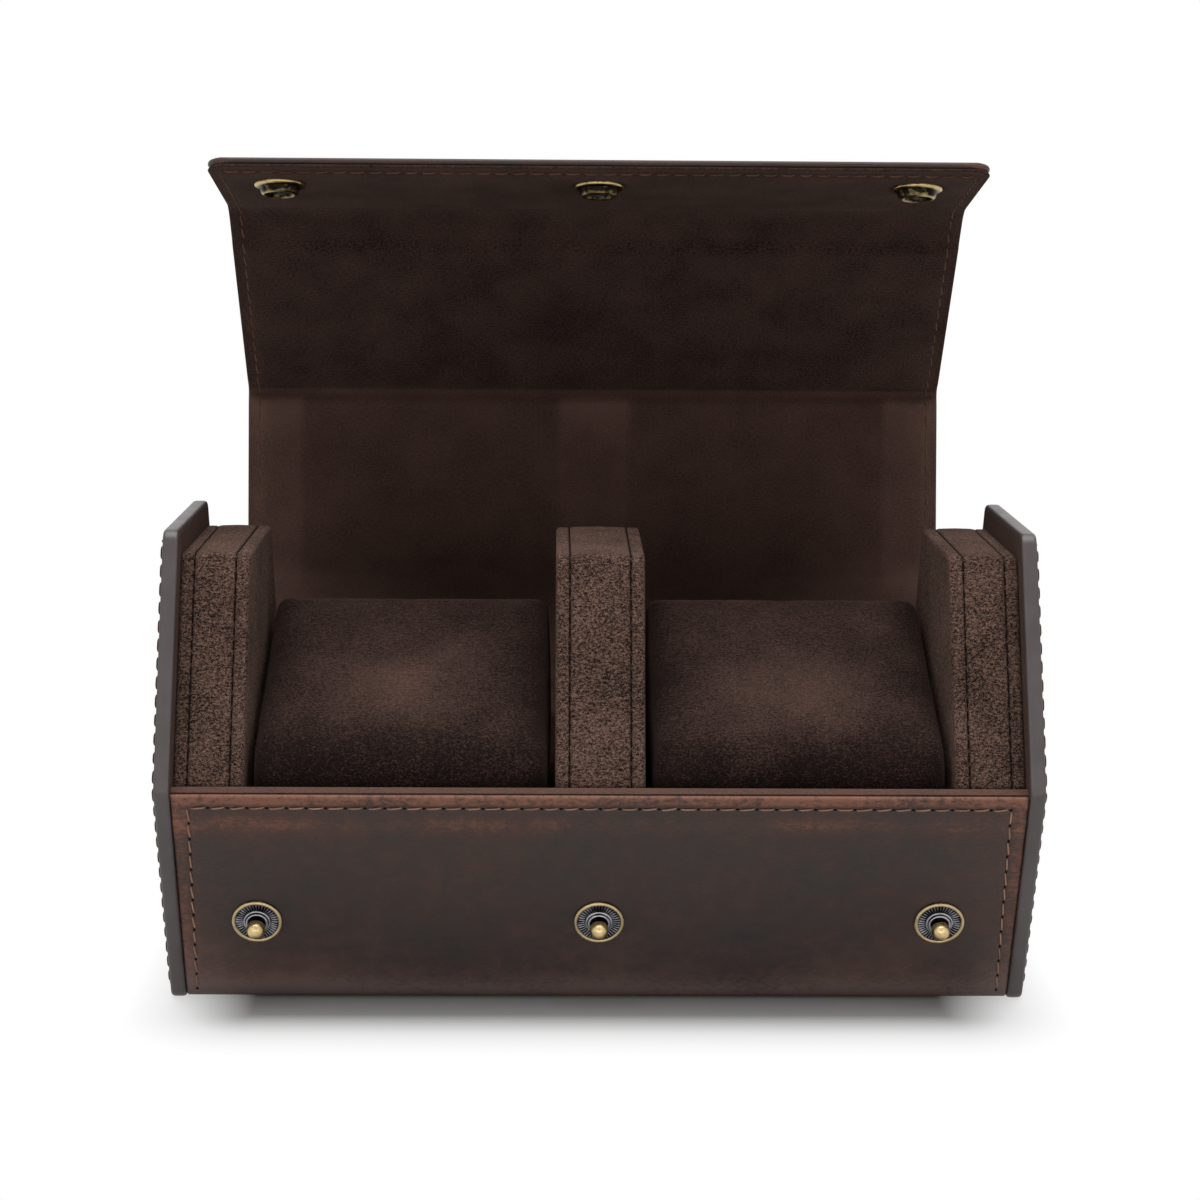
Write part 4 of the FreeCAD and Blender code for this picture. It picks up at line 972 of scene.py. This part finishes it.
# Padded dividers: board and foam in suede, two cheeks and a wall between the watches. The side cloth is
# drawn over the edges and sewn to a narrow band, so that a sunk seam runs inside both edges.
DIVIDER_OUTLINE = [(-20.5, 4.2), (20.5, 4.2), (37.86, 46.6), (19.88, 89.3), (-19.88, 89.3), (-37.86, 46.6)]
DIVIDER_ROUND = 2.2
DIVIDER_EDGE = 0.9
DIVIDER_SKIN = 0.2
DIVIDER_PUFF = 0.18
FACE_SINK = 2.1
FACE_STEPS = np.array([0.0, 0.3, 0.6, 0.85, 0.96, 1.0])
SEAM_INSET = 2.75
SEAM_WIDTH = 0.22
SEAM_DEPTH = 0.4
SEAM_PROUD = 0.05
SEAM_LOWEST = 30.0
SEAM_PITCH = 2.7
SEAM_STITCH = 2.1
divider_line, divider_heading = bend_line(DIVIDER_OUTLINE, DIVIDER_ROUND, 1.0, closed=True)
divider_out = -left_of(divider_heading)
divider_suede = suede_material("divider_suede", tint(24, 17, 15), tint(150, 119, 105), "Object", 1.5)
seam_thread = thread_material("seam_thread", tint(14, 10, 9), tint(34, 24, 20))
for label in ("left", "centre", "right"):
    low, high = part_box(f"{label}_divider_cover")
    half = (high.x - low.x) / 2 / MM
    place = (high.x + low.x) / 2 / MM
    from_edge = np.concatenate(
        [np.linspace(DIVIDER_EDGE, 2.2, 4), np.linspace(2.35, 3.15, 9), np.linspace(3.4, half, 7)]
    )
    seam = SEAM_DEPTH * np.exp(-np.abs((from_edge - SEAM_INSET) / SEAM_WIDTH) ** 1.5)
    puff = DIVIDER_PUFF * np.clip((from_edge - SEAM_INSET) / (half - SEAM_INSET), 0, 1) ** 0.5
    turn = np.linspace(0, np.pi / 2, 8)[::-1][:-1]
    face_rows = len(FACE_STEPS)
    edge_across = half - DIVIDER_EDGE * (1 - np.sin(turn))
    edge_inset = DIVIDER_EDGE * (1 - np.cos(turn)) + DIVIDER_SKIN
    row_across = np.concatenate([np.full(face_rows, half), edge_across, half - from_edge])
    row_inset = np.concatenate([np.full(face_rows, FACE_SINK), edge_inset, seam + DIVIDER_SKIN - puff])
    row_reach = np.concatenate([FACE_STEPS, np.ones(len(turn) + len(from_edge))])
    across = np.concatenate([-row_across, row_across[::-1][1:]]) + place
    inset = np.concatenate([row_inset, row_inset[::-1][1:]])[:, None]
    reach = np.concatenate([row_reach, row_reach[::-1][1:]])
    # Painted shade: the suede is darker in the sunk seams.
    mark = -0.18 - 0.25 * np.concatenate([np.zeros(face_rows + len(turn)), seam / SEAM_DEPTH])
    mark = np.concatenate([mark, mark[::-1][1:]])[:, None]
    cover = block(
        f"{label}_divider", divider_line, divider_out, PANEL_CENTRE, across, inset, reach, divider_suede,
        "case", "suede", mark=mark,
    )
    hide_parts(f"{label}_divider_cover")
    for side, end in ((-1, "a"), (1, "b")):
        line = divider_line - (DIVIDER_SKIN + SEAM_DEPTH - SEAM_PROUD) * divider_out
        near, along = spaced(line, closed=True, pitch=SEAM_PITCH)
        high_enough = near[:, 1] > SEAM_LOWEST
        near, along = near[high_enough], along[high_enough]
        centres = np.column_stack([np.full(len(near), place + side * (half - SEAM_INSET)), near])
        outer = np.column_stack([np.zeros(len(near)), along[:, 1], -along[:, 0]])
        stitch_row(
            f"{label}_divider_seam_{end}", centres, np.column_stack([np.zeros(len(near)), along]), outer,
            seam_thread, "case", slant=0.0, seed=31 + side, length=SEAM_STITCH,
        )

# Watch cushions: foam blocks in suede, sewn tight, with a crowned top, soft corners and drawn-in sides.
# They sit tilted in the trough, so that the watch faces look up and forward. The cover is a cloth that its
# filling presses out.
cushion_suede = suede_material("cushion_suede", SUEDE_DARK, SUEDE_LIGHT, "Object", 1.0)
CUSHION_HALF = 28.3
CUSHION_SECTION = [(-30.2, -49.7), (30.2, -49.7), (30.2, 1.0), (-30.2, 1.0)]
CUSHION_CORNERS = [16.0, 16.0, 4.5, 10.0]
CUSHION_TILT = math.radians(24.0)
CUSHION_PLACE = np.array([-11.1, 62.7])
CUSHION_MIDDLE = -25.0
CUSHION_CROWN = 1.4
CROWN_REACH = 30.0
CROWN_FROM = -9.0
CROWN_OVER = 8.0
SIDE_REACH = 20.0
SIDE_DRAW = 0.5
CUSHION_EDGE = 2.6
CUSHION_SWELL = 0.9
FILL_PRESSURE = 4.0
FILL_FRAMES = 14
FACE_ROWS = 8
SIDE_ROWS = 16
cushion_flat, cushion_heading = bend_line(CUSHION_SECTION, CUSHION_CORNERS, 2.0, closed=True)
tilt_cos = math.cos(CUSHION_TILT)
tilt_sin = math.sin(CUSHION_TILT)
tilt = np.array([[tilt_cos, tilt_sin], [-tilt_sin, tilt_cos]])
cushion_line = cushion_flat @ tilt + CUSHION_PLACE
cushion_out = -left_of(cushion_heading) @ tilt
cushion_centre = np.array([0.0, CUSHION_MIDDLE]) @ tilt + CUSHION_PLACE
crown = np.clip(1 - (cushion_flat[:, 0] / CROWN_REACH) ** 2, 0, 1)
on_top_face = smooth_step((cushion_flat[:, 1] - CROWN_FROM) / CROWN_OVER) * crown
on_sides = np.clip(1 - ((cushion_flat[:, 1] - CUSHION_MIDDLE) / SIDE_REACH) ** 2, 0, 1)
edge_turn = np.linspace(np.pi / 2, 0, 7)[1:]
cushion_rows = np.concatenate(
    [
        np.full(FACE_ROWS, CUSHION_HALF),
        CUSHION_HALF - CUSHION_EDGE * (1 - np.sin(edge_turn)),
        np.linspace(CUSHION_HALF - CUSHION_EDGE, 0, SIDE_ROWS)[1:],
    ]
)
cushion_insets = np.concatenate(
    [np.full(FACE_ROWS, CUSHION_EDGE), CUSHION_EDGE * (1 - np.cos(edge_turn)), np.zeros(SIDE_ROWS - 1)]
)
cushion_reach = np.concatenate([np.linspace(0, 1, FACE_ROWS), np.ones(len(edge_turn) + SIDE_ROWS - 1)])
cushion_across = np.concatenate([-cushion_rows, cushion_rows[::-1][1:]])
cushion_insets = np.concatenate([cushion_insets, cushion_insets[::-1][1:]])
cushion_reach = np.concatenate([cushion_reach, cushion_reach[::-1][1:]])
swell = np.clip(1 - (cushion_across / CUSHION_HALF) ** 2, 0, 1)
cushion_inset = (
    cushion_insets[:, None]
    - CUSHION_CROWN * swell[:, None] ** 0.8 * on_top_face[None]
    + SIDE_DRAW * swell[:, None] * on_sides[None]
)


def mesh_points(mesh):
    """A mesh's points as one array, in metres."""
    flat = np.empty(len(mesh.vertices) * 3)
    mesh.vertices.foreach_get("co", flat)
    return flat.reshape(-1, 3)


def fill_cover(piece):
    """Cloth pressed out from inside for a few frames, its moves scaled so that none is over the swell."""
    cloth = piece.modifiers.new("filling", "CLOTH")
    cloth.settings.use_pressure = True
    cloth.settings.uniform_pressure_force = FILL_PRESSURE
    cloth.settings.effector_weights.gravity = 0.0
    scene = bpy.context.scene
    for step in range(1, FILL_FRAMES + 1):
        scene.frame_set(step)
    filled = piece.evaluated_get(bpy.context.evaluated_depsgraph_get())
    before = mesh_points(piece.data)
    moves = mesh_points(filled.data) - before
    longest = np.linalg.norm(moves, axis=1).max()
    piece.modifiers.remove(cloth)
    scene.frame_set(1)
    after = before + moves * min(1.0, CUSHION_SWELL * MM / longest)
    piece.data.vertices.foreach_set("co", after.ravel())
    piece.data.update()


# Painted light and shade on the cushions: a pale patch in the middle of the top, a lit band along the back
# top edge, and darker sides and front.
PAINTED_LIGHT_PLACE = 7.0
PAINTED_LIGHT_REACH = 14.0
BACK_EDGE = 28.5
BACK_EDGE_WIDTH = 1.3
BACK_EDGE_FROM = -5.0
FRONT_SHADE_FROM = -14.0
FRONT_SHADE_OVER = 14.0
deep, high_up = cushion_flat.T[:, None]
for label, shift in (("left", 0.0), ("right", 3.4)):
    low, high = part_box(f"{label}_cushion_cover")
    place = (low.x + high.x) / 2 / MM
    over = (cushion_across[:, None] / PAINTED_LIGHT_REACH) ** 2
    pale = np.exp(-over - ((deep + PAINTED_LIGHT_PLACE + shift) / PAINTED_LIGHT_REACH) ** 2)
    back_highlight = near_line(deep, BACK_EDGE, BACK_EDGE_WIDTH) * (high_up > BACK_EDGE_FROM)
    rim = np.clip(1 - swell, 0, 1)[:, None] ** 3
    front_shade = smooth_step((FRONT_SHADE_FROM - deep) / FRONT_SHADE_OVER)
    # Painted light and shade: lit middle of the top, highlight along the back edge, shade at the sides and
    # the front; the rest is the suede's own tone.
    mark = 0.34 * pale * on_top_face[None] + 0.16 * back_highlight - 0.26 - 0.16 * rim - 0.12 * front_shade
    cushion = block(
        f"{label}_cushion", cushion_line, cushion_out, cushion_centre, cushion_across + place, cushion_inset,
        cushion_reach, cushion_suede, None, None, mark=mark,
    )
    fill_cover(cushion)
    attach(cushion, f"{label}_cushion")
    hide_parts(f"{label}_cushion_cover", f"{label}_cushion_core")

# Press studs: three turned brass studs in antique finish, riveted through the front wall. Each has a plain
# ring, a dark dish with pressed ribs, a collar, and a ball on a neck that snaps into a socket.
STUD_BELOW = 31.0


def tarnish():
    """Tarnish: stains in clouds, which break up what is worn bright or has a painted highlight, over a fine
    uneven skin.
    """
    sockets = {"Vector": "Vector", "Rub": "Float"}
    group, given, out = effect("tarnish", sockets, ["Rubbed", "Stain", "Height"])
    stain = noise(group, given["Vector"], 700.0, 4.0, 0.6)
    patches = rescale(group, stain, 0.35, 0.7, -0.25, 0.25)
    join(group, out["Rubbed"], sums(group, "ADD", given["Rub"], patches))
    join(group, out["Stain"], stain)
    join(group, out["Height"], noise(group, given["Vector"], 2500.0, 2.0))
    return group


TARNISH = tarnish()


def metal_material(name, dark, bright, roughness):
    """Antique metal: darkened in the hollows by patina and painted shade, bright where fingers and leather
    wear it and where highlights are painted.
    """
    material, tree, shader = new_material(name, roughness, 0.5, Metallic=1.0)
    skin = add_node(tree, "ShaderNodeGroup", {"node_tree": TARNISH})
    join(tree, skin.inputs["Vector"], pattern_place(tree, "Object"))
    join(tree, skin.inputs["Rub"], mark_on(tree, "rub"))
    tree.links.new(blend_colour(tree, skin.outputs["Rubbed"], dark, bright), shader.inputs["Base Color"])
    dulled = rescale(tree, skin.outputs["Stain"], 0.3, 0.7, roughness - 0.08, roughness + 0.12)
    tree.links.new(dulled, shader.inputs["Roughness"])
    finish_with(material, 0.15, 0.0001, skin.outputs["Height"])
    return material


antique_brass = metal_material("antique_brass", tint(54, 45, 33), tint(190, 169, 130), 0.34)
dark_nickel = metal_material("dark_nickel", tint(22, 22, 26), tint(170, 170, 176), 0.34)
bright_brass = metal_material("bright_brass", tint(30, 24, 16), tint(206, 182, 134), 0.26)
# Painted highlight: the ribs' tops are brighter by this much of their height.
RIB_SHINE = 2.6


def turned_row(name, profile, base, along, out, material, body, ribs=None, steps=72):
    """Turned pieces in a row along X: a profile of radius, height and shine, spun about the way out.
    The shine is wear with painted highlights and painted shade.
    """
    radius, height, shine = (column[:, None] for column in np.asarray(profile, float).T)
    turn = np.linspace(0, 2 * np.pi, steps + 1)[None, :-1]
    relief = np.zeros((len(profile), steps)) if ribs is None else ribs(radius, turn)
    shine = shine + RIB_SHINE * relief
    height = height + relief
    sideways = radius * np.cos(turn)
    upward = radius * np.sin(turn)
    points = []
    faces = []
    for place in SNAP_PLACES:
        flat = base + upward[..., None] * along + height[..., None] * out
        start = sum(len(p) for p in points)
        index = np.arange(flat.shape[0] * steps).reshape(flat.shape[:2]) + start
        points.append(np.concatenate([(sideways + place)[..., None], flat], -1).reshape(-1, 3))
        faces += [quads(index, wrap_columns=True), index[:1], index[-1:, ::-1]]
    shine = np.tile(shine.ravel(), len(SNAP_PLACES))
    return add_piece(name, np.concatenate(points), faces, material, body, "antique_brass", rub=shine)


stud_base = on_front(WALL_OUT, STUD_BELOW)
RING_MIDDLE = 4.57
RING_HALF = 0.4
RING_RISE = 0.35
ring_turn = np.linspace(0, np.pi, 13)
ring_profile = np.column_stack(
    [
        RING_MIDDLE + RING_HALF * np.cos(ring_turn),
        RING_RISE + RING_RISE * np.sin(ring_turn),
        0.55 + 0.5 * np.sin(ring_turn),
    ]
)
ring_foot = [[RING_MIDDLE + RING_HALF, 0.0, 0.2]]
ring_profile = np.concatenate([ring_foot, ring_profile, [[RING_MIDDLE - RING_HALF, 0.0, 0.0]]])
rings = turned_row("stud_rings", ring_profile, stud_base, SLOPE_UP, -SLOPE_IN, antique_brass, "case")
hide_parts("snap_studs")
DISH_OUTER = 4.3
DISH_INNER = 2.5
DISH_ROWS = 15
DISH_RIM = 0.45
DISH_FALL = 0.3
DISH_SHINE = 0.12
RIB_COUNT = 40
RIB_HEIGHT = 0.2
RIB_STEPS = 8
dish_radius = np.linspace(DISH_OUTER, DISH_INNER, DISH_ROWS)
dish_slope = DISH_RIM - DISH_FALL * (DISH_OUTER - dish_radius) / (DISH_OUTER - DISH_INNER)
dish_profile = np.column_stack([dish_radius, dish_slope, np.full(DISH_ROWS, DISH_SHINE)])
dish_profile = np.concatenate([[[DISH_OUTER, 0.0, 0.0]], dish_profile, [[DISH_INNER, 0.0, 0.0]]])


def dish_ribs(radius, turn):
    """Raised pleats round the dish, highest in the middle of its slope."""
    across = np.clip((radius - DISH_INNER) / (DISH_OUTER - DISH_INNER), 0, 1)
    return RIB_HEIGHT * np.clip(np.cos(RIB_COUNT * turn), -0.3, 1) * np.sin(across * np.pi) ** 0.6


turned_row(
    "stud_dishes", dish_profile, stud_base, SLOPE_UP, -SLOPE_IN, dark_nickel, "case",
    dish_ribs, RIB_STEPS * RIB_COUNT,
)
# Painted shade and highlights on the collars: dark in the groove and inside by the neck, bright on the
# rounded tops.
collar = [
    (2.7, 0.1, 0.3), (2.68, 0.45, 0.7), (2.6, 0.58, 1.0), (2.45, 0.62, 0.8), (2.25, 0.6, 0.0),
    (2.2, 0.85, 0.5), (2.12, 0.97, 1.0), (1.95, 1.0, 0.9), (1.7, 0.98, 0.1), (1.5, 0.8, -0.3),
    (1.2, 0.6, -0.3),
]
turned_row("stud_collars", collar, stud_base, SLOPE_UP, -SLOPE_IN, dark_nickel, "case", steps=48)
BALL_RADIUS = 1.875
BALL_MIDDLE = 2.85
# Painted shade and highlight on the balls: dark below the middle and on the neck, for their shadow and for
# patina, bright on top.
ball_turn = np.linspace(-0.9, np.pi / 2 - 0.06, 18)
ball_profile = np.column_stack(
    [
        BALL_RADIUS * np.cos(ball_turn), BALL_MIDDLE + BALL_RADIUS * np.sin(ball_turn),
        1.05 * smooth_step((ball_turn + 0.75) / 0.7) - 0.15,
    ]
)
ball_profile = np.concatenate([[(1.1, 0.5, -0.3), (1.0, 1.2, -0.3)], ball_profile])
turned_row("stud_balls", ball_profile, stud_base, SLOPE_UP, -SLOPE_IN, bright_brass, "case", steps=40)

# Sockets and caps: the other half of the snaps, riveted through the flap. A stepped cup with a round
# mouth on the suede side, and a low dome of the same antique brass on the leather side.
# Brass of the sockets, dark where their profile paints shade and bright where it paints highlights.
socket_brass = metal_material("socket_brass", tint(22, 19, 15), tint(198, 174, 120), 0.3)
flap_along = np.array([math.cos(FLAP_ANGLE), math.sin(FLAP_ANGLE)])
flap_in = np.array([-flap_along[1], flap_along[0]])
SOCKET_SEAT = 2.25
CAP_DROP = 2.9
CAP_RADIUS = 6.0
CAP_RIM = 0.55
CAP_DOME = 0.75
socket_base = FLAP_CREASE + SOCKET_REACH * flap_along + SOCKET_SEAT * flap_in
# Painted highlights on the flange's edge and the top of the cup, painted shade on the sides and inside.
socket_profile = [
    (2.45, -1.52, 0.0), (2.45, -0.12, 0.0), (5.3, -0.1, 0.2), (5.35, 0.25, 0.7), (5.25, 0.55, 1.0),
    (4.95, 0.72, 0.9), (4.5, 0.78, 0.3), (4.2, 0.9, 0.0), (4.05, 1.5, 0.0), (3.9, 2.0, 0.2),
    (3.65, 2.32, 0.6), (3.3, 2.42, 0.8), (2.95, 2.35, 0.5), (2.7, 2.1, 0.1), (2.6, 1.7, 0.0),
    (2.3, 1.5, 0.0), (2.2, 0.5, 0.0), (2.15, -1.4, 0.0),
]
sockets = turned_row(
    "snap_socket_rings", socket_profile, socket_base, flap_along, flap_in, socket_brass, "lid_flap", steps=64
)
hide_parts("snap_sockets")
cap_base = socket_base - CAP_DROP * flap_in
dome = np.linspace(0.02, 1, 14)[::-1]
cap_profile = np.column_stack(
    [CAP_RADIUS * dome, CAP_RIM + CAP_DOME * (1 - dome**2), 0.5 + 0.4 * (1 - dome)]
)
cap_profile = np.concatenate([[(5.9, 0.0, 0.1), (6.2, 0.12, 0.5), (6.2, 0.4, 0.8)], cap_profile])
caps = turned_row(
    "snap_cap_domes", cap_profile, cap_base, flap_along, -flap_in, antique_brass, "lid_flap", steps=64
)
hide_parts("snap_caps")

# Hidden pieces that keep their solids: stiffening boards in the walls, foam in the dividers, rivet posts and
# ring springs. Grey board, dark foam, brass and bright wire.


def plain_material(name, dark, light, roughness, scale, metallic=0.0):
    """Plain finish: two tones mixed in clouds, which also roughen the surface."""
    material, tree, shader = new_material(name, roughness, 0.3, Metallic=metallic)
    cloud = noise(tree, pattern_place(tree, "Object"), scale, 4.0, 0.6)
    tone = rescale(tree, cloud, 0.3, 0.7)
    tree.links.new(blend_colour(tree, tone, dark, light), shader.inputs["Base Color"])
    finish_with(material, 0.4, 0.0002, cloud)
    return material


grey_board = plain_material("grey_board", tint(92, 84, 74), tint(128, 118, 105), 0.9, 500.0)
dark_foam = plain_material("dark_foam", tint(46, 40, 37), tint(68, 60, 55), 0.95, 1400.0)
wire = plain_material("wire", tint(120, 120, 118), tint(190, 188, 182), 0.3, 900.0, 1.0)
kept = {name: grey_board for name in ("front_board", "bottom_board", "back_board")}
kept.update({f"{label}_divider_core": dark_foam for label in ("left", "centre", "right")})
kept.update({"snap_posts": antique_brass, "snap_springs": wire})
for name, material in kept.items():
    nodes[name].data.materials.clear()
    nodes[name].data.materials.append(material)

# Stage: white floor that keeps the soft shadow, with a painted shadow right round the case's foot, wide soft
# light from above and in front, and the photograph's camera, a little above the case and looking down at it.
CAMERA_PLACE = (-0.0091, -0.5425, 0.1688)
CAMERA_DOWN = 0.16797
CAMERA_TURN = 0.01732
CAMERA_ROLL = 0.00731
CAMERA_LENS = 81.0
FLOOR_HALF = 6.0
FOOT_HALF = {"X": 0.068, "Y": 0.034}
FLOOR_FADE = (0.0, 0.025)
FOOT_SHADE = (0.0, 0.012)
# Painted shadow: the floor's colour is darker right round the case's foot.
FLOOR_PAINTED_SHADOW = (0.45, 0.45, 0.45, 1)
FLOOR_OPEN = (0.84, 0.84, 0.84, 1)
WORLD_LIGHT = 0.13


def seen_rays(tree):
    """1 for rays from the camera and those that metal and glass send on, 0 for the others."""
    path = add_node(tree, "ShaderNodeLightPath")
    seen = sums(tree, "MAXIMUM", path.outputs["Is Camera Ray"], path.outputs["Is Glossy Ray"])
    return sums(tree, "MAXIMUM", seen, path.outputs["Is Transmission Ray"])


def floor_material():
    """White floor with a painted shadow that darkens its colour right round the case's foot; it takes the
    shadow close to the foot, and is plain white farther away.
    """
    material = bpy.data.materials.new("white_floor")
    material.use_nodes = True
    tree = material.node_tree
    shader = tree.nodes["Principled BSDF"]
    shader.inputs["Roughness"].default_value = 0.9
    shader.inputs["Specular IOR Level"].default_value = 0.1
    white = add_node(tree, "ShaderNodeEmission")
    white.inputs["Color"].default_value = (1, 1, 1, 1)
    place = add_node(tree, "ShaderNodeSeparateXYZ", Vector=pattern_place(tree, "Object"))
    squares = []
    for axis, half in FOOT_HALF.items():
        beyond = sums(tree, "SUBTRACT", sums(tree, "ABSOLUTE", place.outputs[axis]), half)
        squares.append(sums(tree, "POWER", sums(tree, "MAXIMUM", beyond, 0.0), 2.0))
    distance = sums(tree, "SQRT", sums(tree, "ADD", *squares))
    # Painted shadow: the floor colour is darker within a short reach of the foot.
    shade = blend_colour(tree, rescale(tree, distance, *FOOT_SHADE), FLOOR_PAINTED_SHADOW, FLOOR_OPEN)
    tree.links.new(shade, shader.inputs["Base Color"])
    far = rescale(tree, distance, *FLOOR_FADE)
    mix = add_node(tree, "ShaderNodeMixShader")
    tree.links.new(sums(tree, "MULTIPLY", far, seen_rays(tree)), mix.inputs[0])
    tree.links.new(shader.outputs[0], mix.inputs[1])
    tree.links.new(white.outputs[0], mix.inputs[2])
    tree.links.new(mix.outputs[0], tree.nodes["Material Output"].inputs[0])
    return material


floor_mesh = bpy.data.meshes.new("floor")
floor_corners = [(x * FLOOR_HALF, y * FLOOR_HALF, 0) for x, y in ((-1, -1), (1, -1), (1, 1), (-1, 1))]
floor_mesh.from_pydata(floor_corners, [], [(0, 1, 2, 3)])
floor_mesh.materials.append(floor_material())
floor = bpy.data.objects.new("floor", floor_mesh)
bpy.context.scene.collection.objects.link(floor)
floor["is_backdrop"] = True

world = bpy.data.worlds.new("studio")
bpy.context.scene.world = world
world.use_nodes = True
sky = world.node_tree
shown = rescale(sky, seen_rays(sky), 0.0, 1.0, WORLD_LIGHT, 1.0)
sky.links.new(shown, sky.nodes["Background"].inputs["Strength"])
sky.nodes["Background"].inputs["Color"].default_value = (1, 1, 1, 1)


def soft_light(name, place, target, size, power):
    """A wide lamp at a place, turned to a target."""
    lamp = bpy.data.lights.new(name, "AREA")
    lamp.shape = "RECTANGLE"
    lamp.size, lamp.size_y = size
    lamp.energy = power
    holder = bpy.data.objects.new(name, lamp)
    bpy.context.scene.collection.objects.link(holder)
    holder.location = place
    aim = mathutils.Vector(target) - mathutils.Vector(place)
    holder.rotation_euler = aim.to_track_quat("-Z", "Y").to_euler()


soft_light("overhead", (0.0, -0.05, 1.1), (0.0, 0.0, 0.05), (1.2, 0.9), 14.0)
soft_light("front_left", (-0.7, -0.9, 0.5), (0.0, 0.0, 0.06), (0.7, 0.7), 0.8)
soft_light("front_right", (0.8, -0.9, 0.45), (0.0, 0.0, 0.06), (0.7, 0.7), 0.65)
soft_light("front_low", (0.0, -1.0, 0.1), (0.0, 0.0, 0.06), (1.2, 0.3), 1.8)

camera_data = bpy.data.cameras.new("camera")
camera_data.lens = CAMERA_LENS
camera_data.sensor_width = 36.0
camera_data.clip_start = 0.01
camera = bpy.data.objects.new("camera", camera_data)
bpy.context.scene.collection.objects.link(camera)
camera.location = CAMERA_PLACE
level = math.cos(CAMERA_DOWN)
forward = np.array([math.sin(CAMERA_TURN) * level, math.cos(CAMERA_TURN) * level, -math.sin(CAMERA_DOWN)])
right = np.array([math.cos(CAMERA_TURN), -math.sin(CAMERA_TURN), 0.0])
above = np.cross(right, forward)
right, above = (
    math.cos(CAMERA_ROLL) * right + math.sin(CAMERA_ROLL) * above,
    math.cos(CAMERA_ROLL) * above - math.sin(CAMERA_ROLL) * right,
)
camera.rotation_mode = "QUATERNION"
axes = np.column_stack([right, above, -forward])
camera.rotation_quaternion = mathutils.Matrix(axes.tolist()).to_quaternion()
bpy.context.scene.camera = camera
bpy.context.scene.view_settings.view_transform = "Standard"

low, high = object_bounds()
